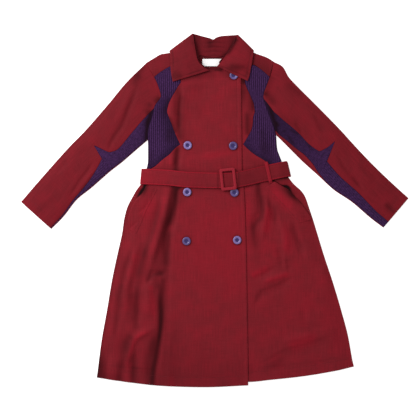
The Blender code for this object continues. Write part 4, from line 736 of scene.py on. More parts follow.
RIB_SHADOWS = creases(
    (0.006, 0.006, 0.32, ((-0.134, 0.345), (-0.142, 0.32), (-0.15, 0.292), (-0.149, 0.268)), 0.25, 0.4),
    (0.013, 0.012, 0.34, ((-0.134, 0.255), (-0.138, 0.225), (-0.139, 0.192)), 0.35, 0.3),
    (0.01, 0.01, 0.22, ((-0.19, 0.19), (-0.195, 0.155), (-0.198, 0.13)), 0.35, 0.1),
    (0.012, 0.01, 0.3, ((0.139, 0.262), (0.143, 0.225), (0.143, 0.19), (0.145, 0.15)), 0.3, 0.2),
    (0.016, 0.016, 0.22, ((0.152, 0.215), (0.16, 0.175), (0.168, 0.14)), 0.35, 0.1),
)
GUSSET_SHADOWS = creases(
    (0.005, 0.005, 0.6, ((0.18, 0.268), (0.188, 0.258), (0.194, 0.248)), 0.3, 0.3),
    (0.005, 0.005, 0.4, ((0.205, 0.243), (0.213, 0.233)), 0.3, 0.3),
    (0.004, 0.005, 0.45, ((0.222, 0.247), (0.234, 0.238), (0.247, 0.231), (0.262, 0.222)), 0.25, 0.4),
    (0.004, 0.005, 0.45, ((0.213, 0.228), (0.224, 0.218), (0.232, 0.205), (0.242, 0.193)), 0.3, 0.3),
    (0.004, 0.005, 0.4, ((0.268, 0.208), (0.285, 0.191), (0.3, 0.175)), 0.3, 0.4),
    (0.006, 0.006, 0.45, ((-0.199, 0.277), (-0.206, 0.262), (-0.212, 0.248)), 0.2, 0.4),
)

# Creases of the hidden side, seen from below
BACK_CREASES = creases(
    (0.012, 0.012, 0.0016, ((-0.11, 0.03), (-0.15, -0.14), (-0.14, -0.33))),
    (0.01, 0.01, 0.0012, ((0.06, 0.02), (0.11, -0.18), (0.09, -0.36))),
    (0.014, 0.014, 0.0014, ((0.21, -0.06), (0.26, -0.23), (0.25, -0.38))),
    (0.01, 0.01, 0.0012, ((-0.06, 0.37), (-0.085, 0.26), (-0.07, 0.19))),
    (0.01, 0.01, 0.001, ((0.07, 0.36), (0.05, 0.25))),
    (0.012, 0.012, 0.0012, ((-0.25, -0.15), (-0.27, -0.38))),
)

# Limits of the shadows
DEEPEST = 0.82
DEEPEST_COLLAR = 0.74
DEEPEST_WELT = 0.66

# Shade below the belt on both sides of the buckle, above the belt, and how far each reaches
BELOW_BELT = {"right": 0.24, "left": 0.34}
BELOW_REACH = 0.006
ABOVE_BELT = 0.16
ABOVE_REACH = 0.008
BELT_OVERLAP = -0.004

# Painted shade: a dark line along the right side seam, its width, and the height where it starts
SIDE_DIM = 0.32
SIDE_REACH = 0.0045
SIDE_START = 0.06

# Shade round each button, and the back's shade inside the neck
BUTTON_DIM = 0.50
BUTTON_SHADE = 0.0158
BACK_DIM = 0.55
BACK_DIM_LOW = 0.38

# Painted highlight: a bright line where the fronts meet the ribbed panels, and how far it reaches
SEAM_HIGHLIGHT = 0.35
SEAM_HIGHLIGHT_REACH = 0.006

# Painted shade on each ribbed panel by the front's seam: strength, how far from it, and up to which height
PANEL_DIM = {"right": (0.85, 0.028, 0.322), "left": (0.75, 0.018, 0.185)}
PANEL_DIM_FADE = 0.05

# Painted shade on each yoke, by the panels and by the shoulder line
YOKE_SHADE = {"right": (0.24, 0.14), "left": (0.46, 0.16)}

# Painted shade on the sleeves, and painted shade and highlight on their upper parts by the gusset's seam
SLEEVE_SHADE = {"right": 0.20, "left": 0.12}
UPPER_DIM = 0.10
UPPER_DIM_REACH = 0.004
UPPER_HIGHLIGHT = 0.30
UPPER_HIGHLIGHT_REACH = 0.020

# Painted shade on each gusset by the armhole and how far along the sleeve it reaches; then at the seam itself
GUSSET_DIM = {"right": (0.40, 0.15), "left": (0.75, 0.58)}
ARM_DIM = 0.95
ARM_DIM_REACH = 0.030
HOLE_DIM = 0.80
HOLE_PLACE = 0.013
HOLE_REACH = 0.011

# Painted shade on the under sleeves by the armhole, the share of the length where it fades, and its reach
UNDER_DIM = 0.20
UNDER_FADE = (0.16, 0.24)

# Painted shade on the collar: along its stitches, on its leaves, at its back roll and inside the neck
GROOVE_DIM = 0.3
GROOVE_DEPTH = 0.0006
RIGHT_LEAF = 0.24
LEFT_LEAF = 0.02
LEFT_POINT = 0.08
LEFT_POINT_FADE = (0.445, 0.035)
ROLL_DIM = 0.12
ROLL_PLACE = (0.520, 0.012)
NECK_DIM = 0.28
NECK_SIDE_DIM = 0.26
NECK_SIDE = (0.034, 0.022)
NOTCH_DIM = 0.32
NOTCH_PLACE = (-0.014, 0.500)
NOTCH_REACH = (0.010, 0.014)

# How the pocket's painted shadow runs onto each welt: strength, where along the mouth it is deepest, its
# reach
WELT_DIM = {"left": (0.92, 0.40, 0.20), "right": (0.80, 0.08, 0.16)}
WELT_DIM_REACH = 0.010
WELT_SHADE = (0.25, 0.4)

# Painted shade on the belt: inside the buckle, beyond it, by its left end, by the frame and by the middle
INSIDE_DIM = 0.16
INSIDE_REACH = 0.016
BEYOND_DIM = 0.26
BEYOND_RISE = (0.066, 0.010)
BEYOND_FALL = 0.6
BEYOND_FADE = (0.150, 0.040)
END_DIM = 0.15
END_RISE = (0.185, 0.020)
FRAME_DIM = 0.34
FRAME_EDGE = 0.0305
FRAME_REACH = 0.0035
MIDDLE_DIM = 0.10
MIDDLE_PLACE = (-0.050, 0.050)

# Painted highlights on the belt by its right end and along its edges, and on the loop all over
END_HIGHLIGHT = 0.45
END_HIGHLIGHT_FADE = (-0.215, 0.060)
BELT_EDGE_HIGHLIGHT = 0.90
BELT_EDGE = 0.83
LOOP_HIGHLIGHT = 0.55

# Noise that the finishes read, from its dark end to its light end, and the near-black of the deepest painted
# shade
NOISE_RANGE = (0.30, 0.70)
DEEPEST_SHADE_COLOUR = (0.010, 0.002, 0.003)

# Grain of the other finishes
MOTTLE = (500.0, 160.0)
SATIN = (260.0, 1500.0)
TWIST = (900.0, 900.0)
CLOUD_SCALE = 260.0
POLISH_SCALE = 900.0

# Shot cloth: brighter-thread patches, slubs along both threads, fine weave, and how painted shade darkens it
PATCH_SCALE = 23.0
PATCH_RANGE = (0.40, 0.75, 0.0, 0.40)
WARP = (460.0, 18.0)
WEFT = (24.0, 520.0)
WARP_SHARE = 0.6
WEFT_SHARE = 0.4
SOFT_TONES = (0.82, 1.18)
WEAVE_SCALE = 290.0
WEAVE_SHARE = 0.35
PAINTED_SHADE_RANGE = (0.0, 0.7, 0.0, 1.0)
DEEPEST_SHADE_RANGE = (0.72, 1.0, 0.0, 1.0)

# Floor, light and camera
FLOOR_SIZE = 3.0
FLOOR_DROP = 0.0005
FLOOR_GREY = 0.80
FLOOR_SHINE = 0.75
KEY_SIZE = 1.5
KEY_PLACE = (-1.7, 1.1, 1.7)
VIEW_CENTRE = (-0.02025, 0.0075)
SENSOR = 36.0

# Flat cut of each sheet of cloth: width, length and area
Sheet = namedtuple("Sheet", "width length area rests_on")


def length(name, description, default, low, high):
    """Property in metres."""
    return FloatProperty(
        name=name, description=description, default=default, min=low, max=high, unit="LENGTH", precision=4)


def amount(name, description, default, low, high):
    """Property without a unit."""
    return FloatProperty(name=name, description=description, default=default, min=low, max=high)


def paint(name, description, default):
    """Property for a colour."""
    return FloatVectorProperty(
        name=name, description=description, subtype="COLOR", size=3, min=0.0, max=1.0, default=default)


class CoatSizes(bpy.types.PropertyGroup):
    """Sizes of the coat that a user may change"""

    cloth: length("Cloth", "Thickness of the coat's cloth", 0.0016, 0.001, 0.002)
    air: length("Air", "Air between the back and the fronts", 0.004, 0.002, 0.006)
    fold_depth: amount("Folds", "Share of the height of the creases that is built", 1.0, 0.0, 1.2)
    rib_pitch: length("Rib pitch", "Distance between the ribs of the side panels", 0.006, 0.004, 0.012)
    rib_height: length("Rib height", "Height of the ribs of the side panels", 0.0011, 0.0003, 0.002)
    belt_width: length("Belt", "Width of the belt", 0.047, 0.035, 0.055)
    belt_cloth: length("Belt cloth", "Thickness of the belt", 0.0024, 0.0015, 0.003)
    buckle_width: length("Buckle width", "Width of the buckle along the belt", 0.047, 0.035, 0.060)
    buckle_height: length("Buckle height", "Height of the buckle across the belt", 0.066, 0.060, 0.075)
    buckle_bar: length("Buckle bar", "Width of the buckle's frame", 0.009, 0.006, 0.012)
    button_width: length("Button", "Diameter of the buttons", 0.025, 0.018, 0.030)
    stitch_length: length("Stitch", "Distance from one stitch to the next", 0.0034, 0.002, 0.006)


class CoatColours(bpy.types.PropertyGroup):
    """Colours of the coat that a user may change"""

    cloth: paint("Cloth", "Main colour of the cloth", (0.192, 0.0115, 0.0185))
    cloth_bright: paint("Bright thread", "Colour of the brighter thread of the cloth", (0.290, 0.009, 0.020))
    # Colour that painted shade darkens the cloth towards, in creases and hollows
    cloth_shade: paint("Hollows", "Colour of the cloth deep in its creases", (0.060, 0.0035, 0.006))
    rib: paint("Ribs", "Colour of the ribbed panels", (0.058, 0.0192, 0.082))
    # Colour that painted shade between the ribs darkens the knit towards
    rib_shade: paint("Between ribs", "Colour between the ribs", (0.018, 0.0060, 0.025))
    # The buckle's cover is the coat's cloth painted lighter, a painted highlight on the raised frame
    buckle: paint("Buckle", "Colour of the buckle's cover", (0.285, 0.017, 0.029))
    button: paint("Button rim", "Colour of the buttons' rims", (0.205, 0.145, 0.375))
    button_middle: paint("Button middle", "Colour of the buttons' sunk middles", (0.026, 0.014, 0.105))
    label: paint("Label", "Colour of the neck label", (0.95, 0.945, 0.94))
    thread: paint("Thread", "Colour of the sewing thread", (0.170, 0.012, 0.020))


class CoatStage(bpy.types.PropertyGroup):
    """Floor, light and camera"""

    key: amount("Key light", "Power of the soft light from the upper left", 62.0, 0.0, 500.0)
    fill: amount("Fill", "Strength of the even light from all round", 0.50, 0.0, 3.0)
    camera_height: length("Camera", "Height of the camera over the floor", 4.0, 2.0, 10.0)
    view_width: length("View", "Width of floor that the camera sees", 1.248, 0.5, 3.0)


def sizes():
    return bpy.context.scene.coat_sizes


def colours():
    return bpy.context.scene.coat_colours


def smooth(share):
    """Eases a share from 0 to 1."""
    share = np.clip(share, 0.0, 1.0)
    return share * share * (3.0 - 2.0 * share)


def rise(value, start, reach):
    """0 up to the start, then eased up to 1 over the reach."""
    return smooth((value - start) / reach)


def bell(offset, reach):
    """1 at no offset, fading with the reach."""
    return np.exp(-((offset / reach) ** 2))


def wave(x, y, across, along, shift=0.0):
    """Waves over the plan, in radians for each metre both ways."""
    return np.sin(across * x + along * y + shift)


def cosine(run, pitch):
    """Waves from 0 to 1 along a run, highest at its start."""
    return 0.5 + 0.5 * np.cos(FULL_TURN * run / pitch)


def passed(path):
    """How far along a path each of its points lies."""
    return np.concatenate([[0.0], np.cumsum(np.linalg.norm(np.diff(path, axis=0), axis=1))])


def paired(*values):
    """Values of one shape, side by side on a last axis."""
    return np.stack(np.broadcast_arrays(*values), axis=-1)


def through(places, values):
    """Smooth curve through knots that never swings past them, as a reading at any place."""
    order = np.argsort(places)
    knots = np.asarray(places, float)[order]
    levels = np.asarray(values, float)[order]
    steps = np.diff(knots)
    rates = np.diff(levels) / steps
    slopes = np.concatenate([rates[:1], np.zeros(len(knots) - 2), rates[-1:]])
    same = rates[:-1] * rates[1:] > 0.0
    total = np.where(same, rates[:-1] + rates[1:], 1.0)
    slopes[1:-1] = np.where(same, 2.0 * rates[:-1] * rates[1:] / total, 0.0)

    def read(at):
        at = np.clip(at, knots[0], knots[-1])
        i = np.clip(np.searchsorted(knots, at, side="right") - 1, 0, len(steps) - 1)
        t = (at - knots[i]) / steps[i]
        back = 1.0 - t
        start = levels[i] * (1.0 + 2.0 * t) * back**2 + slopes[i] * steps[i] * t * back**2
        end = levels[i + 1] * (3.0 - 2.0 * t) * t**2 - slopes[i + 1] * steps[i] * back * t**2
        return start + end

    return read


def curve(places, values, *corners):
    """Smooth reading of values over places, with a sharp turn at each corner."""
    places, values = np.array(places), np.array(values)
    limits = [places.min(), *sorted(corners), places.max()]
    runs = []
    for low, high in zip(limits, limits[1:]):
        inside = (places >= low) & (places <= high)
        runs.append(through(places[inside], values[inside]))

    def read(at):
        made = runs[0](at)
        for limit, run in zip(limits[1:], runs[1:]):
            made = np.where(np.asarray(at) > limit, run(at), made)
        return made

    return read


def column(rows, place, value, *corners):
    """Smooth reading of one column of a table over another."""
    return curve([getattr(row, place) for row in rows], [getattr(row, value) for row in rows], *corners)


def line(rows):
    return column(rows, "x", "y")


def joined(low, high, split):
    """Reads low up to the split station and high above it."""
    return lambda at: np.where(np.asarray(at) > split, high(at), low(at))


def eased(route, per_step=6):
    """Points along a smooth curve through the spots of a route."""
    places = np.array(route)
    runs = passed(places)
    at = np.linspace(0.0, runs[-1], per_step * (len(places) - 1) + 1)
    return np.stack([through(runs, values)(at) for values in places.T], axis=-1)


def crease_height(x, y, rows):
    """Sum of the soft ridges and troughs at the places given."""
    places = np.stack([np.ravel(x), np.ravel(y)], axis=-1)
    total = np.zeros(len(places))
    for crease in rows:
        route = eased(crease.route)
        reach = CREASE_REACH * max(crease.left, crease.right)
        near = ((places > route.min(0) - reach) & (places < route.max(0) + reach)).all(1)
        if not near.any():
            continue
        run, runs = np.diff(route, axis=0), passed(route)
        lengths = np.diff(runs)
        offset = places[near, None] - route[:-1]
        share = np.clip((offset * run).sum(2) / (run**2).sum(1), 0.0, 1.0)
        away = offset - share[..., None] * run
        nearest = np.argmin((away**2).sum(2), axis=1)
        pick = np.arange(len(nearest)), nearest
        off = np.hypot(*away[pick].T)
        hand = run[nearest, 0] * away[pick][:, 1] - run[nearest, 1] * away[pick][:, 0]
        along = (runs[nearest] + share[pick] * lengths[nearest]) / runs[-1]
        ends = smooth(along / crease.starts) * smooth((1.0 - along) / crease.ends)
        width = np.where(hand > 0.0, crease.left, crease.right) * (CREASE_TAPER + (1.0 - CREASE_TAPER) * ends)
        total[near] += crease.height * ends * bell(off, width)
    return total.reshape(np.shape(x))


def ripple(x, y):
    """Slight unevenness that no laid cloth is without."""
    slow = wave(x, y, 31.0, 17.0, 0.6) * wave(x, y, -9.0, 23.0)
    quick = wave(x, y, 83.0, -41.0) * wave(x, y, 29.0, 67.0, 1.1)
    return RIPPLE_SLOW * slow + RIPPLE_QUICK * quick


def crinkle(x, y):
    """Close unevenness of the ribbed knit."""
    first = wave(x, y, 310.0, 140.0, 2.1 * wave(x, y, -60.0, 90.0))
    second = wave(x, y, -170.0, 270.0, 1.7 * wave(x, y, 110.0, 50.0) + 0.7)
    return 0.6 * first * second + 0.4 * wave(x, y, 640.0, -510.0, 2.6 * first)


class Drape:
    """Where the seams run and how high each layer of the coat lies."""

    def __init__(self):
        given = sizes()
        self.cloth, self.air, self.depth = given.cloth, given.air, given.fold_depth
        self.belt_width, self.belt_cloth = given.belt_width, given.belt_cloth
        self.side = {side: column(SIDE_SEAMS, "y", side) for side in SIDES}
        self.seam = {side: column(FRONT_SEAMS, "y", side, SEAM_TIP) for side in SIDES}
        self.body = {}
        for side, armhole in ARMHOLES.items():
            self.body[side] = joined(self.side[side], column(armhole, "y", "x"), armhole[-1].y)
        self.shown = column(FRONT_EDGES, "y", "shown")
        self.hidden = column(FRONT_EDGES, "y", "hidden")
        self.belt_line = line(BELT_LINE)
        self.belt_lean = column(BELT_LINE, "x", "lean")

    def belt_rise(self, x, y, clear=0.0):
        """How far the belt's run under the back lifts the cloth above it."""
        off = np.abs(y - BELT_BACK_MID - BELT_BACK_SLOPE * x) - self.belt_width / 2 - GAP - clear
        return (self.belt_cloth + GAP) * np.clip(1.0 - off / (BELT_RAMP + clear), 0.0, 1.0)

    def inside(self, x, y):
        """Distance from the nearer side seam, growing above the armpit."""
        sides = np.minimum(x - self.side["right"](y), self.side["left"](y) - x)
        return np.maximum(sides, 0.0) + EDGE_FADE * rise(y, *ARMPIT)

    def beside(self, x, y):
        """1 where only one front lies, fading out a little way into the lap."""
        return smooth(1.0 + np.maximum(self.hidden(y) - x, x - self.shown(y)) / LAP_FADE)

    def folds(self, x, y):
        """Creases of the fronts, fading out at the sides and where the fronts lap."""
        edge = smooth(self.inside(x, y) / FOLD_FADE)
        return self.depth * edge * self.beside(x, y) * crease_height(x, y, CREASES + MOUTHS)

    def shade(self, x, y):
        """How dark the shadows of folds, belt, side seam and buttons and the pocket mouths show."""
        below = self.belt_line(x) - self.belt_width / 2 - y
        above = -below - self.belt_width
        strength = np.where(x > BUCKLE_PLACE[0], BELOW_BELT["left"], BELOW_BELT["right"])
        by_belt = strength * bell(below, BELOW_REACH) * (below > BELT_OVERLAP)
        by_belt = by_belt + ABOVE_BELT * bell(above, ABOVE_REACH) * (above > BELT_OVERLAP)
        by_side = SIDE_DIM * bell(x - self.side["right"](y), SIDE_REACH)
        by_side = by_side * smooth((SIDE_START - y) / SIDE_START)
        soft = crease_height(x, y, SHADOWS) + by_belt + by_side
        for button in BUTTONS:
            away = ((x - button.x) ** 2 + (y - button.y) ** 2) / BUTTON_SHADE**2
            soft = soft + BUTTON_DIM * np.exp(-(away**3))
        mouths = smooth(-crease_height(x, y, MOUTHS) / MOUTH_DEPTH)
        return np.maximum(np.clip(soft, 0.0, DEEPEST), mouths)

    def glow(self, x, y):
        """How strongly the painted highlights show, as a mix towards the brighter thread."""
        return np.clip(crease_height(x, y, PAINTED_HIGHLIGHTS), 0.0, 1.0)

    def lift(self, x, y):
        """Air and folds between the back and the front layer, pressed down by the belt."""
        air = self.air * smooth(self.inside(x, y) / EDGE_FADE)
        pressed = 1.0 - PRESS_DEPTH * bell(y - self.belt_line(x), PRESS_REACH)
        shoulder = 1.0 - np.clip((y - SHOULDER[0]) / SHOULDER[1], 0.0, 1.0) ** 3
        raised = (air + self.folds(x, y)) * pressed * shoulder
        level = 0.5 * (raised + np.sqrt(raised**2 + LIFT_SOFT**2))
        return level + smooth(air / self.air) * (ripple(x, y) + LIFT_BASE)

    def front_under(self, x, y):
        """Underside of the front layer."""
        return self.cloth + self.belt_rise(x, y, FRONT_CLEAR) + GAP + self.lift(x, y)

    def right_front_under(self, x, y):
        """Underside of the right front, raised where it laps over the left one."""
        ramp = smooth((x - self.hidden(y) + LAP_RAMP) / (LAP_RAMP - 2 * GAP))
        return self.front_under(x, y) + (self.cloth + 2 * GAP) * ramp + crease_height(x, y, LAP_RIDGES)

    def back_under(self, x, y):
        """Underside of the back, with the shallow creases of the hidden side."""
        hidden = rise(self.inside(x, y), *BACK_FADE) * crease_height(x, y, BACK_CREASES)
        return self.belt_rise(x, y) + hidden

    def coat_top(self, x, y):
        """Top of whichever front shows at a place."""
        return np.where(x < self.shown(y), self.right_front_under(x, y), self.front_under(x, y)) + self.cloth

    def highest(self, x, y, reach):
        """Highest top of the fronts close round the places given."""
        steps = (-reach, 0.0, reach)
        return np.max([self.coat_top(x + dx, y + dy) for dx in steps for dy in steps], axis=0)


def opaque(colour):
    return (*colour, 1.0)


def grey(level):
    return (level, level, level, 1.0)


class Finish:
    """Short way to lay out the shader nodes of a material."""

    def __init__(self, name, roughness, **values):
        self.material = bpy.data.materials.new(name)
        self.material.use_nodes = True
        self.tree = self.material.node_tree
        self.shader = self.tree.nodes["Principled BSDF"]
        self.shader.inputs["Roughness"].default_value = roughness
        self.shader.inputs["Metallic"].default_value = 0.0
        for name, value in values.items():
            self.shader.inputs[name.replace("_", " ")].default_value = value

    def feed(self, socket, value):
        if isinstance(value, bpy.types.NodeSocket):
            self.tree.links.new(value, socket)
        else:
            socket.default_value = value

    def node(self, kind, inputs, out=0, **settings):
        made = self.tree.nodes.new(kind)
        for setting, value in settings.items():
            setattr(made, setting, value)
        for place, value in inputs.items():
            self.feed(made.inputs[place], value)
        return made.outputs[out]

    def grain(self, across=1.0, down=1.0):
        """Place on the cloth in metres, stretched."""
        place = self.node("ShaderNodeUVMap", {}, uv_map="grain")
        return self.node("ShaderNodeMapping", {"Vector": place, "Scale": (across, down, 1.0)})

    def noise(self, vector, scale=1.0, detail=2.0):
        return self.node("ShaderNodeTexNoise", {"Vector": vector, "Scale": scale, "Detail": detail})

    def calc(self, operation, first, second):
        return self.node("ShaderNodeMath", {0: first, 1: second}, operation=operation)

    def span(self, value, low, high, to_low, to_high):
        return self.node("ShaderNodeMapRange", {0: value, 1: low, 2: high, 3: to_low, 4: to_high})

    def blend(self, share, first, second, way="MIX"):
        return self.node(
            "ShaderNodeMix", {0: share, 6: first, 7: second}, out=2, data_type="RGBA", blend_type=way)

    def toned(self, colour, pattern, dark, light):
        """Colour made darker and lighter by a pattern of noise."""
        tone = self.span(pattern, *NOISE_RANGE, dark, light)
        shades = self.node("ShaderNodeCombineColor", {0: tone, 1: tone, 2: tone})
        return self.blend(1.0, colour, shades, "MULTIPLY")

    def layer(self, name):
        return self.node("ShaderNodeAttribute", {}, out=2, attribute_name=name)

    def waves(self, scale, direction):
        return self.node(
            "ShaderNodeTexWave", {"Vector": self.grain(), "Scale": scale}, out=1, wave_type="BANDS",
            bands_direction=direction)

    def colour(self, value):
        self.feed(self.shader.inputs["Base Color"], value)

    def bump(self, height, strength, distance):
        made = self.node("ShaderNodeBump", {"Height": height, "Strength": strength, "Distance": distance})
        self.feed(self.shader.inputs["Normal"], made)


def make_shot_cloth(name, main, bright):
    """Shot cloth of two threads: uneven patches, slubs both ways and a fine weave."""
    made = Finish(name, roughness=0.68, Sheen_Weight=0.03, Sheen_Roughness=0.45, Specular_IOR_Level=0.06)
    patches = made.span(made.noise(made.grain(), PATCH_SCALE, detail=4.0), *PATCH_RANGE)
    warp = made.noise(made.grain(*WARP), detail=3.0)
    weft = made.noise(made.grain(*WEFT), detail=3.0)
    slubs = made.calc(
        "ADD", made.calc("MULTIPLY", warp, WARP_SHARE), made.calc("MULTIPLY", weft, WEFT_SHARE))
    base = made.blend(patches, opaque(main), opaque(bright))
    # Painted highlights, as a mix towards the brighter thread
    base = made.blend(made.layer("glow"), base, opaque(bright))
    cloth = made.toned(base, slubs, *SOFT_TONES)
    # Painted shade, going to near black for the deepest painted shadows
    hollow = made.layer("hollow")
    deep = made.blend(made.span(hollow, *PAINTED_SHADE_RANGE), cloth, opaque(colours().cloth_shade))
    made.colour(made.blend(made.span(hollow, *DEEPEST_SHADE_RANGE), deep, opaque(DEEPEST_SHADE_COLOUR)))
    weave = made.calc("MULTIPLY", made.waves(WEAVE_SCALE, "X"), made.waves(WEAVE_SCALE, "Y"))
    height = made.calc("ADD", made.calc("MULTIPLY", weave, WEAVE_SHARE), slubs)
    made.bump(height, strength=0.35, distance=0.0006)
    return made.material


def make_rib_knit():
    """Ribbed knit, with painted shade between its ribs, and mottled along them."""
    made = Finish("rib_knit", roughness=0.85, Sheen_Weight=0.03, Sheen_Roughness=0.5, Specular_IOR_Level=0.05)
    mottle = made.noise(made.grain(*MOTTLE), detail=3.0)
    # Painted shade between the ribs, and by seams and armholes, through the ridge layer
    ribs = made.blend(made.layer("ridge"), opaque(colours().rib_shade), opaque(colours().rib))
    knit = made.toned(ribs, mottle, dark=0.62, light=1.42)
    # Painted shade, darkening the knit towards near black
    made.colour(made.blend(made.layer("hollow"), knit, opaque(DEEPEST_SHADE_COLOUR)))
    made.bump(mottle, strength=0.5, distance=0.0008)
    return made.material


def make_button_finish(name, colour, roughness):
    """Polished horn-like plastic with a faint cloud in it."""
    made = Finish(name, roughness, Specular_IOR_Level=0.5)
    cloud = made.noise(made.grain(), CLOUD_SCALE, detail=3.0)
    clouded = made.toned(opaque(colour), cloud, *SOFT_TONES)
    # Painted shade: the dark layer darkens the rim towards the middle's colour
    made.colour(made.blend(made.layer("dark"), clouded, opaque(colours().button_middle)))
    made.bump(made.noise(made.grain(), POLISH_SCALE), strength=0.08, distance=0.0003)
    return made.material


def make_woven_label():
    """Satin label with its fine weave and no lettering."""
    made = Finish("woven_label", roughness=0.55, Sheen_Weight=0.1, Specular_IOR_Level=0.3)
    thread = made.noise(made.grain(*SATIN))
    made.colour(made.toned(opaque(colours().label), thread, dark=0.96, light=1.03))
    made.bump(thread, strength=0.2, distance=0.0003)
    return made.material


def make_thread():
    """Twisted sewing thread."""
    made = Finish("sewing_thread", roughness=0.6, Sheen_Weight=0.05, Specular_IOR_Level=0.12)
    twist = made.noise(made.grain(*TWIST))
    made.colour(made.toned(opaque(colours().thread), twist, dark=0.8, light=1.25))
    made.bump(twist, strength=0.2, distance=0.0002)
    return made.material


FINISHES = {
    "shot_cloth": lambda: make_shot_cloth("shot_cloth", colours().cloth, colours().cloth_bright),
    # The buckle's cover: the shot cloth painted lighter, a painted highlight
    "buckle_cloth": lambda: make_shot_cloth("buckle_cloth", colours().buckle, colours().cloth_bright),
    "rib_knit": make_rib_knit,
    "button_rim": lambda: make_button_finish("button_rim", colours().button, roughness=0.32),
    "button_middle": lambda: make_button_finish("button_middle", colours().button_middle, roughness=0.28),
    "woven_label": make_woven_label,
    "sewing_thread": make_thread,
}

# Finish, slot and last part of the name of each kind of cloth
Kind = namedtuple("Kind", "finish slot suffix")
SHELL = Kind("shot_cloth", "shell", "cloth")
RIB = Kind("rib_knit", "rib", "knit")
LABEL = Kind("woven_label", "label", "cloth")


def finish_of(name):
    return bpy.data.materials.get(name) or FINISHES[name]()


def outward(points, faces):
    """Faces of a closed mesh, turned to look outward."""
    a, b, c = (points[faces[:, corner]] for corner in range(3))
    volume = (a * np.cross(b, c)).sum()
    if faces.shape[1] == 4:
        volume += (a * np.cross(c, points[faces[:, 3]])).sum()
    return (faces if volume >= 0.0 else faces[:, ::-1]).tolist()


def put(name, points, faces, finishes, slot, node=None, grain=None, which=None, **layers):
    """Adds one closed mesh that rides with the coat, in place of its CAD node."""
    mesh = bpy.data.meshes.new(name)
    mesh.from_pydata(points.tolist(), [], faces)
    mesh.shade_smooth()
    for finish in finishes:
        mesh.materials.append(finish_of(finish))
    if which is not None:
        mesh.polygons.foreach_set("material_index", np.asarray(which, np.int32))
    corners = np.empty(len(mesh.loops), np.int32)
    mesh.loops.foreach_get("vertex_index", corners)
    grain = points[:, :2] if grain is None else grain.reshape(-1, 2)
    mesh.uv_layers.new(name="grain").data.foreach_set("uv", grain[corners].astype(np.float32).ravel())
    for layer, values in layers.items():
        stored = mesh.attributes.new(layer, "FLOAT", "POINT")
        stored.data.foreach_set("value", np.asarray(values, np.float32).ravel())
    made = bpy.data.objects.new(name, mesh)
    bpy.context.scene.collection.objects.link(made)
    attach(made, "root")
    if node:
        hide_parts(node)


def quads(index):
    """Quads between the neighbours of a grid of point numbers."""
    return np.stack([index[:-1, :-1], index[1:, :-1], index[1:, 1:], index[:-1, 1:]], axis=-1).reshape(-1, 4)


def grid_faces(rows, columns):
    """Quads of a closed shell: its upper grid, its lower grid and the rim between them."""
    count = rows * columns
    index = np.arange(count).reshape(rows, columns)
    upper = quads(index)
    rim = np.concatenate([index[0, :-1], index[:-1, -1], index[-1, :0:-1], index[:0:-1, 0]])
    onward = np.roll(rim, -1)
    sides = np.stack([rim, onward, onward + count, rim + count], axis=-1)
    return np.concatenate([upper, upper[:, ::-1] + count, sides])


def ring_faces(rings, sides, closed):
    """Quads of a run of rings, closed into a loop or ending in open ends."""
    index = np.arange(rings * sides).reshape(rings, sides)
    if closed:
        index = np.concatenate([index, index[:1]])
    return quads(np.hstack([index, index[:, :1]]))


def put_shell(node, upper, lower, kind=SHELL, grain=None, **layers):
    """Cloth between an upper and a lower grid of points."""
    points = np.concatenate([upper.reshape(-1, 3), lower.reshape(-1, 3)])
    doubled = {name: np.tile(np.ravel(values), 2) for name, values in layers.items()}
    if grain is not None:
        grain = np.tile(grain.reshape(-1, 2), (2, 1))
    faces = outward(points, grid_faces(*upper.shape[:2]))
    put(f"{node}_{kind.suffix}", points, faces, [kind.finish], kind.slot, node, grain, **doubled)


def put_loop(name, node, points, finish, slot, grain, **layers):
    """Closed loop of rings of points."""
    faces = ring_faces(*points.shape[:2], True)
    points = points.reshape(-1, 3)
    put(name, points, outward(points, faces), [finish], slot, node, grain, **layers)


def drawn_in(thick, distance):
    """How far each face of a cloth is drawn in by its edge."""
    return thick * np.interp(distance, EDGE_OFFSETS, EDGE_DROPS)


def lay(node, x, y, under, thick, distance, kind=SHELL, grain=None, **layers):
    """Cloth of one thickness on a height field, with its edges rounded over."""
    pull = drawn_in(thick, distance)
    upper = np.stack([x, y, under + thick - pull], axis=-1)
    lower = np.stack([x, y, under + np.minimum(pull, LOWER_DROP * thick)], axis=-1)
    put_shell(node, upper, lower, kind, grain, **layers)


def spread(start, end, count):
    """Rows of places from start to end, close together by both ends, and how far each is from an end."""
    start, end = np.asarray(start, float)[:, None], np.asarray(end, float)[:, None]
    span = end - start
    near = EDGE_OFFSETS * np.minimum(1.0, np.abs(span) / (EDGE_ROOM * EDGE_OFFSETS[-1])) * np.sign(span)
    middle = np.linspace(0.0, 1.0, count)[1:-1]
    inner = start + near[:, -1:] + (span - 2.0 * near[:, -1:]) * middle
    places = np.hstack([start + near, inner, end - near[:, ::-1]])
    return places, np.minimum(np.abs(places - start), np.abs(end - places))


def stations(high, low, spacing, *marks):
    """Heights of rows from high to low, close together by both ends and with rows at the marks."""
    count = max(3, round((high - low) / spacing))
    even = np.linspace(high - EDGE_OFFSETS[-1], low + EDGE_OFFSETS[-1], count)
    for mark in marks:
        even = even[np.abs(even - mark) > MARK_CLEAR]
    rows = np.concatenate([even, marks, high - EDGE_OFFSETS[:-1], low + EDGE_OFFSETS[:-1]])
    return np.sort(rows)[::-1]


def panel_plan(rows, start, end, top, hem, count):
    """Grid of a body panel: places, and how far each is from the nearest edge."""
    x, distance = spread(start(rows), end(rows), count)
    high, low = rows[0], rows[-1]
    to_top = np.maximum(0.0, 1.0 - (high - rows) / TOP_REACH) ** 2
    to_hem = np.maximum(0.0, 1.0 - (rows - low) / HEM_REACH) ** 2
    y = rows[:, None] + to_top[:, None] * (top(x) - high) + to_hem[:, None] * (hem(x) - low)
    distance = np.minimum(distance, np.minimum(high - rows, rows - low)[:, None])
    return x, y, distance


def stitch_groove(offset, depth=0.0005, width=0.0020):
    """Soft groove that a row of stitches draws into the cloth."""
    return -depth * bell(offset, width)


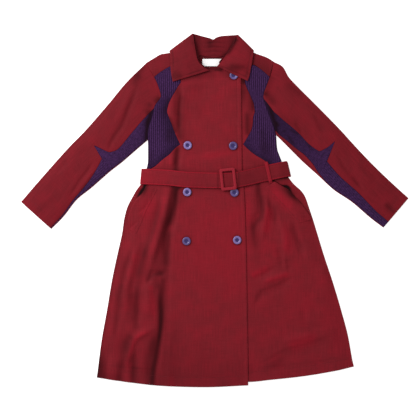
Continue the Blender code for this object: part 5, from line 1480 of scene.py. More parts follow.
def make_front(side):
    """One front, with its topstitched edge and the gathers by the ribbed panel."""
    drape = Drape()
    rows = stations(PANEL_HIGH[side], PANEL_LOW, FRONT_ROW, *TIP_MARKS)
    seams = joined(drape.side[side], drape.seam[side], WAIST_SEAM)
    top, hem = line(TOPS[side]), line(HEMS[side])

    def outer(y):
        return seams(y) - OUTWARD[side] * SEAM

    if side == "right":
        x, y, distance = panel_plan(rows, outer, drape.shown, top, hem, FRONT_COLUMNS[side])
        edge = drape.shown(y) - x
        raised = EDGE_LIFT * smooth((EDGE_STITCH - edge) / EDGE_LIFT_REACH)
        under = drape.right_front_under(x, y) + (stitch_groove(edge - EDGE_STITCH) + raised)
    else:
        x, y, distance = panel_plan(rows, drape.hidden, outer, top, hem, FRONT_COLUMNS[side])
        under = drape.front_under(x, y)
    from_seam = np.abs(x - outer(rows)[:, None]) + PUCKER_CLEAR * (rows < WAIST_SEAM)[:, None]
    gathers = np.exp(-from_seam / PUCKER_REACH) * np.sin(FULL_TURN * y / PUCKER_PITCH) * (from_seam > 0.0)
    under = under + PUCKER * gathers + stitch_groove(y - hem(x) - HEM_STITCH)
    # Painted highlight along the seam with the ribbed panel; the drape gives the painted shade and highlights
    by_seam = SEAM_HIGHLIGHT * np.exp(-from_seam / SEAM_HIGHLIGHT_REACH)
    lay(f"front_{side}", x, y, under, drape.cloth, distance, hollow=drape.shade(x, y),
        glow=np.clip(drape.glow(x, y) + by_seam, 0.0, 1.0))


def make_back():
    """The back, which lies on the surface."""
    drape = Drape()
    rows = stations(PANEL_HIGH["back"], PANEL_LOW, BACK_ROW)
    hem = line(HEMS["back"])
    x, y, distance = panel_plan(
        rows, drape.body["right"], drape.body["left"], line(TOPS["back"]), hem, BACK_COLUMNS)
    under = drape.back_under(x, y) - stitch_groove(y - hem(x) - HEM_STITCH, depth=0.0002)
    # Painted shade on the back's inside, where it shows in the neck
    lay("back", x, y, under, drape.cloth, distance, hollow=np.where(y > BACK_DIM_LOW, BACK_DIM, 0.0))


def make_side_panel(side):
    """Ribbed panel between the front's curved seam, the armhole and the side seam."""
    drape = Drape()
    top, seam = PANEL_TOPS[side], drape.seam[side]
    slant = joined(drape.body[side], column(top, "y", "x"), top[0].y)
    rows = stations(top[-1].y, PANEL_END, FRONT_ROW, *TIP_MARKS, top[0].y)
    inset = OUTWARD[side] * SEAM
    x, distance = spread(slant(rows) - inset, seam(rows) + inset, PANEL_COLUMNS)
    y = np.broadcast_to(rows[:, None], x.shape)
    distance = np.minimum(distance, np.minimum(rows[0] - rows, rows - rows[-1])[:, None])
    wander = RIB_WANDER * wave(x, y, 40.0, 37.0) + RIB_WANDER / 2 * wave(x, y, 0.0, 121.0)
    ridge = cosine(x + wander, sizes().rib_pitch) * smooth(distance / RIB_FADE)
    gather = RIB_GATHER * crinkle(x, y) * np.exp(-distance / GATHER_REACH)
    uneven = KNIT_GRAIN * crinkle(KNIT_STRETCH[0] * x, KNIT_STRETCH[1] * y)
    thick = RIB_BASE + sizes().rib_height * ridge + uneven + np.maximum(gather, GATHER_LIMIT)
    # Painted shade on the ribs by the front's seam, and painted shadows from the rib table
    dim, reach, high = PANEL_DIM[side]
    by_seam = bell(x - seam(y), reach) * (1.0 - rise(y, high, PANEL_DIM_FADE))
    lay(f"side_panel_{side}", x, y, drape.front_under(x, y), thick, distance, RIB,
        ridge=ridge * (1.0 - dim * by_seam), hollow=crease_height(x, y, RIB_SHADOWS))


def make_yoke(side):
    """Shoulder yoke, from the panels below it up to the shoulder line."""
    drape = Drape()
    cuts = np.array(YOKES[side])
    at = np.arange(len(cuts), dtype=float)
    u = np.linspace(0.0, at[-1], YOKE_GRID[0])[:, None]
    low_x, low_y, high_x, high_y = (curve(at, values, *YOKE_BENDS[side])(u) for values in cuts.T)
    low = np.stack([low_x, low_y + 2 * SEAM], axis=-1)
    high = np.stack([high_x, high_y], axis=-1)
    height = np.linalg.norm(high - low, axis=-1)[:, 0]
    run, distance = spread(np.zeros(len(u)), height, YOKE_GRID[1])
    share = run / height[:, None]
    plan = low + (high - low) * share[..., None]
    x, y = plan[..., 0], plan[..., 1]
    to_armhole = np.maximum(0.0, 1.0 - u) ** 2
    x = x + (drape.body[side](y[:1]) - x[:1]) * to_armhole - OUTWARD[side] * SEAM
    under = drape.cloth + GAP + drape.lift(x, y) * (1.0 - share**3)
    # Painted shade, from the panels up to the shoulder line
    by_panel, by_shoulder = YOKE_SHADE[side]
    tone = by_panel + (by_shoulder - by_panel) * share
    lay(f"yoke_{side}", x, y, under, drape.cloth, distance, hollow=tone)


class Sleeve:
    """Flattened sleeve: places across it by share, from the overarm fold at 0 to the underarm fold at 1."""

    def __init__(self, side):
        self.drape, self.side = Drape(), side
        arms, gussets, armhole = ARMS[side], GUSSETS[side], ARMHOLES[side]
        self.over = [column(arms, "along", axis) for axis in ("over_x", "over_y")]
        self.fold = [column(arms, "along", axis) for axis in ("under_x", "under_y")]
        self.dome = column(arms, "along", "dome")
        self.top = column(gussets, "along", "top", *SPIKES[side])
        self.bottom = column(gussets, "along", "bottom")
        drop = armhole[0].y - armhole[-1].y
        knots = [(armhole[0].y - spot.y) / drop for spot in armhole]
        self.hole = [through(knots, values) for values in zip(*armhole)]
        tip, back = SPIKES[side]
        before, after = (tip - SPIKE_FAR, tip - SPIKE_NEAR), (back + SPIKE_NEAR, back + SPIKE_FAR)
        marks = [*before, *np.linspace(tip, back, SPIKE_STEPS), *after]
        cuff = EDGE_OFFSETS / SLEEVE_LENGTH
        even = np.linspace(cuff[-1], 1.0 - cuff[-1], SLEEVE_ROWS)
        even = even[(even < marks[0] - SPIKE_CLEAR) | (even > marks[-1] + SPIKE_CLEAR)]
        self.along = np.sort(np.concatenate([even, marks, cuff[:-1], 1.0 - cuff[:-1]]))[:, None]
        across = [start(self.along) - end(self.along) for start, end in zip(self.over, self.fold)]
        self.width = np.hypot(*across)
        self.end_distance = np.minimum(self.along, 1.0 - self.along) * SLEEVE_LENGTH
        self.lip = np.minimum(self.bottom(self.along), 1.0 - SLEEVE_LIP / self.width)

    def place(self, share):
        """Points on the plan, with the armhole's curve fading out along the sleeve."""
        fade = np.maximum(0.0, 1.0 - self.along / ARMHOLE_REACH) ** 2
        made = []
        for over_fold, fold, hole in zip(self.over, self.fold, self.hole):
            straight = over_fold(self.along) + (fold(self.along) - over_fold(self.along)) * share
            chord = hole(0.0) + (hole(1.0) - hole(0.0)) * share
            made.append(straight + (hole(share) - chord) * fade)
        return made[0] + OUTWARD[self.side] * 2 * SEAM, made[1]

    def under(self, share, x, y):
        """Underside of the top layer: a low dome with the sleeve's folds."""
        arch = 1.0 - np.abs(2.0 * share - 1.0) ** ARCH_POWER
        folds = self.drape.depth * crease_height(x, y, SLEEVE_CREASES)
        raised = np.maximum(0.0, arch) * (self.dome(self.along) + folds + SLEEVE_RIPPLE * ripple(x, y))
        return self.drape.cloth + GAP + np.maximum(0.0, raised)

    def grain(self, share):
        return paired(share * self.width, self.along * SLEEVE_LENGTH)

    def make_upper(self):
        """Top of the sleeve, curled over the overarm fold."""
        cloth, bend = self.drape.cloth, SLEEVE_ROUND / self.width
        start = np.full(len(self.width), SLEEVE_ROUND)
        end = (self.top(self.along) * self.width - SEAM)[:, 0]
        flat = spread(start, end, UPPER_COLUMNS)[0][:, len(EDGE_OFFSETS) - 1 :] / self.width
        from_end = (self.top(self.along) - flat) * self.width
        x, y = self.place(flat)
        under = self.under(flat, x, y) + stitch_groove((1.0 - self.along) * SLEEVE_LENGTH - CUFF_STITCH)
        half = (under[:, :1] + cloth) / 2
        outer_share = np.hstack([bend * (1.0 - np.cos(OVER_TURN)), flat])
        inner_share = np.hstack([bend - (bend - cloth / self.width) * np.cos(OVER_TURN), flat])
        outer_z = np.hstack([half + half * np.sin(OVER_TURN), under + cloth])
        inner_z = np.hstack([half + (half - cloth) * np.sin(OVER_TURN), under])
        round_fold = np.ones((len(flat), len(OVER_TURN)))
        distance = np.hstack([round_fold, np.minimum(from_end, 1.0)])
        # Painted shade by the gusset's seam
        by_seam = UPPER_DIM * np.exp(-distance / UPPER_DIM_REACH)
        distance = np.minimum(distance, self.end_distance)
        pull = drawn_in(cloth, distance)
        x, y = self.place(outer_share)
        upper = np.stack([x, y, np.maximum(outer_z - pull, 0.0)], axis=-1)
        lower = np.stack([*self.place(inner_share), inner_z + np.minimum(pull, LOWER_DROP * cloth)], axis=-1)
        # Painted shade over the sleeve and in its folds, and a painted highlight by the gusset's seam
        shade = SLEEVE_SHADE[self.side] + crease_height(x, y, SLEEVE_SHADOWS)
        put_shell(
            f"sleeve_{self.side}_upper", upper, lower, grain=self.grain(outer_share), hollow=shade + by_seam,
            glow=UPPER_HIGHLIGHT * np.exp(-distance / UPPER_HIGHLIGHT_REACH))

    def make_gusset(self):
        """Ribbed gusset let into the sleeve along the underarm."""
        edge = SEAM / self.width
        low, high = (self.top(self.along) + edge) * self.width, (self.lip - edge) * self.width
        run, distance = spread(low[:, 0], high[:, 0], GUSSET_COLUMNS)
        share = run / self.width
        x, y = self.place(share)
        distance = np.minimum(distance, self.end_distance)
        uneven = GUSSET_CRINKLE * (0.5 + 0.5 * crinkle(x, y))
        ridge = np.clip(GUSSET_RIBS * cosine(run, sizes().rib_pitch) + uneven, 0.0, 1.0)
        ridge = ridge * smooth(distance / GUSSET_FADE)
        thick = RIB_BASE + GUSSET_RISE * ridge
        # Painted shade on the ribs by the armhole, and painted shadows at the armhole seam and in the
        # wrinkles
        dim, reach = GUSSET_DIM[self.side]
        run_out = self.along * SLEEVE_LENGTH
        by_arm = 1.0 - ARM_DIM * bell(run_out, ARM_DIM_REACH)
        by_arm = by_arm * (1.0 - dim * (1.0 - smooth(self.along / reach)))
        by_hole = HOLE_DIM * bell(run_out - HOLE_PLACE, HOLE_REACH)
        lay(
            f"sleeve_{self.side}_gusset", x, y, self.under(share, x, y), thick, distance, RIB,
            self.grain(share), ridge=ridge * by_arm,
            hollow=np.minimum(by_hole + crease_height(x, y, GUSSET_SHADOWS), DEEPEST))

    def make_under(self):
        """Under sleeve: flat on the surface, then turned over the underarm fold up to the gusset."""
        cloth, bend = self.drape.cloth, SLEEVE_ROUND / self.width
        turn_at, start = 1.0 - bend, UNDER_START * bend
        flat = start + (turn_at - start) * np.linspace(0.0, 1.0, UNDER_COLUMNS)
        past = self.lip < turn_at
        quarter = math.pi / 2
        end_turn = np.where(past, quarter, np.arccos(np.clip((self.lip - turn_at) / bend, -1.0, 1.0)))
        last_turn = np.where(past, end_turn, end_turn - LIP_TURN)
        turn = -quarter + (last_turn + quarter) * np.linspace(0.0, 1.0, UNDER_TURN_STEPS)[1:]
        steps = np.linspace(0.0, 1.0, LIP_STEPS)[1:]
        lip_turn = last_turn + (end_turn - last_turn) * steps
        lip_flat = turn_at + (self.lip - turn_at) * steps
        nearest = np.minimum(self.lip, turn_at)
        half = (self.under(nearest, *self.place(nearest)) + cloth) / 2
        lip_z = self.under(lip_flat, *self.place(lip_flat))

        def across(radius):
            """Shares across a face of the cloth that turns at a radius."""
            lip = np.where(past, lip_flat, turn_at + radius * np.cos(lip_turn))
            return np.hstack([flat, turn_at + radius * np.cos(turn), lip])

        def heights(foot, radius, top):
            """Heights of a face of the cloth, from its flat part to its lip."""
            lip = np.where(past, top, half + radius * np.sin(lip_turn))
            return np.hstack([np.full_like(flat, foot), half + radius * np.sin(turn), lip])

        outer, inner = across(bend), across(bend - cloth / self.width)
        upper = np.stack([*self.place(outer), heights(0.0, half, lip_z + cloth)], axis=-1)
        lower = np.stack([*self.place(inner), heights(cloth, half - cloth, lip_z)], axis=-1)
        # Painted shade by the armhole
        dim = UNDER_DIM * (1.0 - rise(self.along, *UNDER_FADE))
        put_shell(
            f"sleeve_{self.side}_under", upper, lower, grain=self.grain(outer),
            hollow=np.broadcast_to(dim, outer.shape))


def collar_grid(cuts, rows, columns, bulge):
    """Points of a collar part, their normals, distances from the outer edge or an end, and grain."""
    cuts = np.array(cuts)
    runs = (passed(cuts[:, :3]) + passed(cuts[:, 3:])) / 2
    at = spread([0.0], [runs[-1]], rows)[0][0]
    read = np.stack([through(runs, values)(at) for values in cuts.T], axis=-1)
    roll, edge = read[:, :3], read[:, 3:]
    width = np.linalg.norm(edge - roll, axis=1)
    run, _ = spread(np.zeros(len(at)), width, columns)
    share = (run / width[:, None])[..., None]
    points = roll[:, None] + (edge - roll)[:, None] * share
    points[..., 2] += bulge * 4.0 * (share * (1.0 - share))[..., 0]
    normals = np.cross(np.gradient(points, axis=0), np.gradient(points, axis=1))
    normals /= np.linalg.norm(normals, axis=2, keepdims=True)
    if normals[0, :, 2].mean() < 0.0:
        normals = -normals
    ends = np.minimum(at, runs[-1] - at)[:, None]
    return points, normals, np.minimum(width[:, None] - run, ends), paired(at[:, None], run)


def make_collar_part(node, cuts, grid, bulge, crease, tone):
    """One part of the collar as cloth of even thickness, thinning at its edges."""
    points, normals, distance, grain = collar_grid(cuts, *grid, bulge)
    half = (COLLAR_CLOTH / 2 - drawn_in(COLLAR_CLOTH, distance))[..., None]
    points = points + normals * crease(points, distance)[..., None]
    x, y = points[..., 0], points[..., 1]
    # Painted shade: the part's own, in its stitch grooves, and the placed collar shadows
    shade = tone(x, y) + GROOVE_DIM * smooth(-crease(points, distance) / GROOVE_DEPTH)
    shade = shade + crease_height(x, y, COLLAR_SHADOWS)
    put_shell(node, points + normals * half, points - normals * half, grain=grain,
              hollow=np.clip(shade, 0.0, DEEPEST_COLLAR))


def fall_crease(points, distance):
    """Topstitched edge and a slight roll of the leaves."""
    x, y = points[..., 0], points[..., 1]
    roll = FALL_RIPPLE * ripple(FALL_STRETCH * x, FALL_STRETCH * y)
    return stitch_groove(distance - COLLAR_STITCH, depth=0.0004) + roll


def stand_crease(points, distance):
    """Wrinkles across the inside of the neck."""
    x, y = points[..., 0], points[..., 1]
    wrinkles = np.sin(FULL_TURN * (y + WRINKLE_LEAN * np.abs(x)) / WRINKLE_PITCH)
    return WRINKLE_HEIGHT * (wrinkles * bell(x, WRINKLE_REACH))


def fall_painted_shade(x, y):
    """Painted shade on the leaves: the left one light above and dark towards its point."""
    high, reach = LEFT_POINT_FADE
    left = LEFT_LEAF + LEFT_POINT * smooth((high - y) / reach)
    return np.where(x > 0.0, left, RIGHT_LEAF) + ROLL_DIM * bell(y - ROLL_PLACE[0], ROLL_PLACE[1])


def stand_painted_shade(x, y):
    """Painted shade inside the neck: darkest at both sides, under the roll."""
    notch = bell(x - NOTCH_PLACE[0], NOTCH_REACH[0]) * bell(y - NOTCH_PLACE[1], NOTCH_REACH[1])
    return NECK_DIM + NECK_SIDE_DIM * rise(np.abs(x), *NECK_SIDE) + NOTCH_DIM * notch


def label_under(drape, x):
    """Underside of the label, which lies in a slow wave."""
    turn = FULL_TURN * x / LABEL_WAVE_LENGTH + LABEL_WAVE_START
    return drape.cloth + 2 * GAP + LABEL_WAVE * (0.5 + 0.5 * np.sin(turn))


def make_label():
    """Bare woven label lying on the inside of the back."""
    drape = Drape()
    width, height = LABEL_SIZE
    rows = stations(height / 2, -height / 2, LABEL_ROW)
    into_corner = np.maximum(0.0, np.abs(rows) - height / 2 + LABEL_CORNER)
    inset = LABEL_CORNER - np.sqrt(np.maximum(0.0, LABEL_CORNER**2 - into_corner**2))
    x, distance = spread(inset - width / 2, width / 2 - inset, LABEL_COLUMNS)
    y = np.broadcast_to(rows[:, None], x.shape)
    distance = np.minimum(distance, (height / 2 - np.abs(rows))[:, None])
    under = label_under(drape, x)
    lay("neck_label", x + LABEL_PLACE[0], y + LABEL_PLACE[1], under, LABEL_CLOTH, distance, LABEL)


def welt_point(side, along, across):
    """Place on a pocket welt: along its mouth from the top, and across from the mouth to the inner edge."""
    ends = []
    for route in WELTS[side]:
        places = eased(route)
        runs = passed(places)
        ends.append(np.stack([np.interp(along * runs[-1], runs, values) for values in places.T], axis=-1))
    place = ends[0] + (ends[1] - ends[0]) * across[..., None]
    return place[..., 0], place[..., 1]


def welt_rest(drape, x, y, along, across):
    """Underside and thickness of a welt, standing open at the mouth and thin where it runs into the front."""
    mouth = bell(across, WELT_OPEN) * np.sin(math.pi * np.clip(along, 0.0, 1.0)) ** WELT_OPEN_POWER
    taper = (1.0 - rise(across, *WELT_TAPER)) * smooth((1.0 - along) / WELT_END)
    clear = REST_CLEAR * (WELT_CLEAR + (1.0 - WELT_CLEAR) * taper)
    under = drape.highest(x, y, NEAR_WELT) + clear + WELT_LIFT * mouth
    return under, WELT_CLOTH * (WELT_THIN + (1.0 - WELT_THIN) * taper)


def make_welt(side):
    """Slanting pocket welt with its mouth edge standing a little open."""
    drape = Drape()
    mouth, inner = (np.array(route) for route in WELTS[side])
    height = np.linalg.norm(mouth[-1] - mouth[0])
    width = np.linalg.norm(inner[0] - mouth[0])
    along, end_distance = spread([0.0], [height], WELT_GRID[0])
    across, side_distance = spread([0.0], [width], WELT_GRID[1])
    along, across = np.meshgrid(along[0] / height, across[0] / width, indexing="ij")
    x, y = welt_point(side, along, across)
    distance = np.minimum(end_distance[0][:, None], side_distance[0][None, :])
    under, thick = welt_rest(drape, x, y, along, across)
    under += stitch_groove((1.0 - across) * width - WELT_STITCH, depth=0.0003)
    # Painted shadow of the pocket on the welt by its mouth, with the fronts' painted shade and highlights
    dim, middle, reach = WELT_DIM[side]
    by_mouth = dim * bell(across * width, WELT_DIM_REACH) * bell(along - middle, reach)
    hollow = np.minimum(drape.shade(x, y), DEEPEST_WELT) * rise(across, *WELT_SHADE) + by_mouth
    lay(f"pocket_welt_{side}", x, y, under, thick, distance, hollow=np.minimum(hollow, DEEPEST),
        glow=drape.glow(x, y))


def windows(values):
    """Values beside each station, shifted one by one through the belt's window."""
    padded = np.pad(values, BELT_WINDOW, mode="edge")
    return [padded[i : i + len(values)] for i in range(2 * BELT_WINDOW + 1)]


def belt_heights(drape):
    """Stations across the front with the height of the belt's middle at each."""
    x = np.linspace(BELT_LINE[0].x, BELT_LINE[-1].x, BELT_STATIONS)
    middle, lean = drape.belt_line(x), drape.belt_lean(x)
    reach = np.linspace(-0.5, 0.5, BELT_PROBES)[:, None] * drape.belt_width
    tops = drape.highest(x + lean * reach, middle + reach, NEAR_BELT).max(0)
    tops = np.mean(windows(np.max(windows(tops), axis=0)), axis=0)
    return x, middle, lean, tops + BELT_RISE + drape.belt_cloth / 2


def belt_rings(drape):
    """Middle, outward normal and lean of the belt at each station round its loop."""
    x, y, lean, z = belt_heights(drape)
    front = np.stack([x, y, z], axis=-1)
    up = np.tile((0.0, 0.0, 1.0), (len(x), 1))
    under_x = x[::-BELT_BACK_EVERY]
    under = paired(under_x, BELT_BACK_MID + BELT_BACK_SLOPE * under_x, drape.belt_cloth / 2)
    down = np.tile((0.0, 0.0, -1.0), (len(under_x), 1))
    under_lean = drape.belt_lean(under_x)

    def turned(start, end, first, last, side):
        """Half turn round one side of the coat."""
        share = np.linspace(0.0, 1.0, BELT_TURN_STEPS)[1:-1]
        angle = math.pi * share
        radius = abs(start[2] - end[2]) / 2
        turn = start + (end - start) * share[:, None]
        turn[:, 2] = (start[2] + end[2]) / 2 + radius * np.cos(angle) * side
        turn[:, 0] += side * radius * np.sin(angle)
        return turn, paired(side * np.sin(angle), 0.0, side * np.cos(angle)), first + (last - first) * share

    parts = (
        (front, up, lean),
        turned(front[-1], under[0], lean[-1], under_lean[0], 1.0),
        (under, down, under_lean),
        turned(under[-1], front[0], under_lean[-1], lean[0], -1.0),
    )
    return tuple(np.concatenate(columns) for columns in zip(*parts))


def belt_dim(x):
    """Painted shade along the belt's front: most by the buckle and beyond it."""
    from_buckle = x - BUCKLE_PLACE[0]
    inside = INSIDE_DIM * np.exp(-((from_buckle / INSIDE_REACH) ** 4))
    beyond = BEYOND_DIM * rise(x, *BEYOND_RISE) * (1.0 - BEYOND_FALL * rise(x, *BEYOND_FADE))
    by_frame = FRAME_DIM * sum(bell(from_buckle - edge, FRAME_REACH) for edge in (-FRAME_EDGE, FRAME_EDGE))
    by_middle = MIDDLE_DIM * bell(x - MIDDLE_PLACE[0], MIDDLE_PLACE[1])
    return inside + beyond + END_DIM * rise(x, *END_RISE) + by_frame + by_middle


def make_belt():
    """Belt as one closed loop round the waist, over the fronts and under the back."""
    drape = Drape()
    middle, normal, lean = belt_rings(drape)
    across = paired(lean, 1.0, 0.0)
    across = across / np.linalg.norm(across, axis=1, keepdims=True)
    section = np.array(BELT_SECTION)
    way = section[:, 0] * drape.belt_width / 2
    out = np.minimum(section[:, 1], SECTION_LIMIT) * drape.belt_cloth / 2
    points = middle[:, None] + across[:, None] * way[:, None] + normal[:, None] * out[:, None]
    x = points[..., 0]
    # Painted highlights by the right end and along the edges
    glow = END_HIGHLIGHT * (1.0 - rise(x, *END_HIGHLIGHT_FADE)) + BELT_EDGE_HIGHLIGHT * (np.abs(section[:, 0]) > BELT_EDGE)
    put_loop(
        "belt_cloth", "belt", points, "shot_cloth", "shell", paired(passed(middle)[:, None], way),
        hollow=belt_dim(x), glow=np.clip(glow, 0.0, 1.0))


def make_belt_loop():
    """Narrow strap over the belt, sewn to the coat above and below it."""
    drape = Drape()
    down = np.array((math.sin(LOOP_TURN), -math.cos(LOOP_TURN)))
    run = np.linspace(-0.5, 0.5, LOOP_GRID[0]) * LOOP_LENGTH
    place = np.array(LOOP_PLACE) + down * run[:, None]
    belt_x, _, _, belt_z = belt_heights(drape)
    on_belt = np.interp(place[:, 0], belt_x, belt_z) + BELT_TOP * drape.belt_cloth + GAP
    coat = drape.highest(place[:, 0], place[:, 1], LOOP_WIDTH / 2) + REST_CLEAR
    share = 1.0 - rise(np.abs(run) - drape.belt_width / 2, *LOOP_BEND)
    under = coat + (np.maximum(on_belt, coat) - coat) * share
    across, distance = spread([-LOOP_WIDTH / 2], [LOOP_WIDTH / 2], LOOP_GRID[1])
    x = place[:, :1] - down[1] * across
    y = place[:, 1:] + down[0] * across
    distance = np.minimum(distance, (LOOP_LENGTH / 2 - np.abs(run))[:, None])
    under = under[:, None] + stitch_groove(distance - LOOP_STITCH, depth=0.0002, width=0.0008)
    # Painted highlight over the whole loop, and no painted shade
    lay("belt_loop", x, y, under, drape.cloth, distance, grain=paired(across, run[:, None]),
        hollow=np.zeros_like(x), glow=np.full_like(x, LOOP_HIGHLIGHT))


def rounded_outline(width, height, corner, steps=8, side_steps=10):
    """Points round a rounded rectangle, anticlockwise, spaced along its sides too."""
    signs = np.array(((1, 1), (-1, 1), (-1, -1), (1, -1)))
    centres = signs * (width / 2 - corner, height / 2 - corner)
    points = []
    for quarter, centre in enumerate(centres):
        angles = math.pi / 2 * (quarter + np.linspace(0.0, 1.0, steps + 1))
        arc = centre + corner * np.stack([np.cos(angles), np.sin(angles)], axis=-1)
        onward = centres[(quarter + 1) % 4] - centre
        shares = np.linspace(0.0, 1.0, side_steps + 1)[1:-1, None]
        points += [arc, arc[-1] + onward * shares]
    return np.concatenate(points)


def make_buckle():
    """Cloth-covered frame standing on the belt, rounded over."""
    drape = Drape()
    width, height, bar = sizes().buckle_width, sizes().buckle_height, sizes().buckle_bar
    outer = rounded_outline(width, height, BUCKLE_CORNER)
    inner = rounded_outline(width - 2 * bar, height - 2 * bar, BUCKLE_CORNER * BUCKLE_INNER_CORNER)
    round_over = np.linspace(0.0, math.pi, BUCKLE_STEPS)
    bent = np.cos(round_over) * np.abs(np.cos(round_over)) ** BUCKLE_BEND
    share = np.clip(np.concatenate([0.5 - 0.5 * bent, BUCKLE_FOOT]), 0.0, 1.0)
    dome = BUCKLE_SHOULDER + (1.0 - BUCKLE_SHOULDER) * np.sin(round_over) ** BUCKLE_ROUND
    level = BUCKLE_THICK * np.concatenate([dome, np.zeros(len(BUCKLE_FOOT))])
    plan = outer + (inner - outer) * share[:, None, None]
    cos, sin = math.cos(BUCKLE_TURN), math.sin(BUCKLE_TURN)
    plan = plan @ np.array(((cos, sin), (-sin, cos))) + np.array(BUCKLE_PLACE)
    x, y = plan[..., 0], plan[..., 1]
    belt_x, _, _, belt_z = belt_heights(drape)
    on_belt = np.interp(x, belt_x, belt_z).max() + BELT_TOP * drape.belt_cloth
    seat = max(on_belt, drape.highest(x, y, NEAR_SEAT).max()) + GAP
    # Painted highlight through the lighter cover, and no painted shade
    put_loop(
        "buckle_frame", "buckle", paired(x, y, seat + level[:, None]), "buckle_cloth", "buckle",
        paired(passed(outer)[None, :], (share * bar)[:, None]), hollow=np.zeros(x.shape))


def make_button(button):
    """Turned button with a raised rim round a sunk dark middle."""
    radius = sizes().button_width / 2
    angles = FULL_TURN * np.arange(BUTTON_SIDES) / BUTTON_SIDES
    around = np.stack([np.cos(angles), np.sin(angles)], axis=-1)
    middle = np.array((button.x, button.y))
    rim = middle + BUTTON_SEAT * radius * around
    seat = Drape().highest(rim[:, 0], rim[:, 1], NEAR_SEAT).max() + GAP
    rings = [paired(*(middle + row.radius * radius * around).T, seat + row.height) for row in BUTTON_PROFILE]
    points = np.concatenate([*rings, [(*middle, seat), (*middle, seat + BUTTON_MIDDLE)]])
    count = len(BUTTON_PROFILE)
    foot, top, last = count * BUTTON_SIDES, count * BUTTON_SIDES + 1, (count - 1) * BUTTON_SIDES
    faces = ring_faces(count, BUTTON_SIDES, False)[:, ::-1].tolist()
    neighbours = [(a, (a + 1) % BUTTON_SIDES) for a in range(BUTTON_SIDES)]
    faces += [(b, a, foot) for a, b in neighbours]
    faces += [(last + a, last + b, top) for a, b in neighbours]
    which = np.repeat([*(row.middle for row in BUTTON_PROFILE[1:]), 0, 1], BUTTON_SIDES)
    # Painted shade on the rim: each button's own, and the collar's shadow across the neck button
    shade = button.shaded * smooth((button.x + BUTTON_SHADE_START * radius - points[:, 0]) / radius)
    put(f"{button.name}_turned", points, faces, ["button_rim", "button_middle"], "button", button.name,
        which=which, dark=BUTTON_PAINTED_SHADE * button.dark + shade)


# Faces of one stitch, a stretched octahedron
STITCH_FACES = np.array((
    (0, 2, 4), (2, 1, 4), (1, 3, 4), (3, 0, 4), (2, 0, 5), (1, 2, 5), (3, 1, 5), (0, 3, 5)))


def stitches(path):
    """Stitches laid end to end along a path of points."""
    path = np.asarray(path, float)
    runs, pitch = passed(path), sizes().stitch_length
    at = np.arange(0.5 * pitch, runs[-1] - 0.5 * pitch, pitch)
    half = STITCH_HALF * pitch

    def read(places):
        return np.stack([np.interp(places, runs, values) for values in path.T], axis=-1)

    head, tail = read(at - half), read(at + half)
    run = tail - head
    side = paired(-run[:, 1], run[:, 0], 0.0)
    side *= THREAD_WIDTH / np.linalg.norm(side, axis=1, keepdims=True)
    middle, up = (head + tail) / 2, np.array((0.0, 0.0, THREAD_WIDTH))
    points = np.stack([head, tail, middle + side, middle - side, middle + up, middle - up], axis=1)
    faces = STITCH_FACES + 6 * np.arange(len(at))[:, None, None]
    return points.reshape(-1, 3), faces.reshape(-1, 3)


def put_stitches(name, paths, slot="shell", finish="sewing_thread"):
    """All the stitches of one group of seams as one piece."""
    points, faces, count = [], [], 0
    for path in paths:
        made, corners = stitches(path)
        points.append(made)
        faces.append(corners + count)
        count += len(made)
    points = np.concatenate(points)
    put(name, points, outward(points, np.concatenate(faces)), [finish], slot)


def front_stitch_paths(drape):
    """Rows along the shown front edge and above both hems."""
    y = np.linspace(*EDGE_RUN)
    paths = []
    for inset, lifted in ((OUTER_STITCH, EDGE_LIFT), (EDGE_STITCH, -STITCH_SINK)):
        x = drape.shown(y) - inset
        paths.append(paired(x, y, drape.right_front_under(x, y) + drape.cloth + lifted))
    for side, under in (("right", drape.right_front_under), ("left", drape.front_under)):
        x = np.linspace(*HEM_RUNS[side])
        y = line(HEMS[side])(x) + HEM_STITCH
        paths.append(paired(x, y, under(x, y) + drape.cloth - STITCH_SINK))
    return paths


def collar_stitch_paths():
    """Row inside the outer edge of both collar leaves."""
    points, normals, distance, _ = collar_grid(COLLAR_FALL, *FALL_GRID, FALL_BULGE)
    points = points + normals * (fall_crease(points, distance) + COLLAR_CLOTH / 2)[..., None]
    paths = []
    for leaf in LEAVES:
        path = []
        for row in points[leaf]:
            run = np.linalg.norm(row - row[-1], axis=1)
            path.append([np.interp(COLLAR_STITCH, run[::-1], values[::-1]) for values in row.T])
        paths.append(path)
    return paths


def belt_stitch_paths(drape):
    """Rows near both edges of the belt."""
    x, middle, lean, z = belt_heights(drape)
    top, reach = z + BELT_THREAD * drape.belt_cloth, BELT_STITCH * drape.belt_width
    return [paired(x + side * reach * lean, middle + side * reach, top) for side in (-1.0, 1.0)]


def welt_stitch_paths(drape):
    """Row near the inner edge of each pocket welt."""
    along = np.linspace(*WELT_RUN)
    across = np.full_like(along, WELT_ACROSS)
    paths = []
    for side in WELTS:
        x, y = welt_point(side, along, across)
        paths.append(paired(x, y, sum(welt_rest(drape, x, y, along, across))))
    return paths


def cuff_stitch_paths(drape):
    """Row across the upper side of each cuff."""
    paths = []
    for side in ARMS:
        sleeve = Sleeve(side)
        sleeve.along = np.array([[1.0 - CUFF_STITCH / SLEEVE_LENGTH]])
        first, last = CUFF_INSETS[0], sleeve.top(sleeve.along)[0, 0] - CUFF_INSETS[1]
        share = np.linspace(first, last, CUFF_STATIONS)[None, :]
        x, y = sleeve.place(share)
        paths.append(paired(x, y, sleeve.under(share, x, y) + drape.cloth - STITCH_SINK)[0])
    return paths


def label_stitch_paths(drape):
    """Short rows holding both ends of the label."""
    y = np.linspace(*LABEL_RUN) * LABEL_SIZE[1] + LABEL_PLACE[1]
    end = LABEL_SIZE[0] / 2 - LABEL_INSET
    return [paired(x + LABEL_PLACE[0], y, label_under(drape, x) + LABEL_CLOTH) for x in (-end, end)]


class COAT_OT_back(bpy.types.Operator):
    """Build the back of the coat"""

    bl_idname = "coat.back"
    bl_label = "Back"

    def execute(self, context):
        make_back()
        return {"FINISHED"}


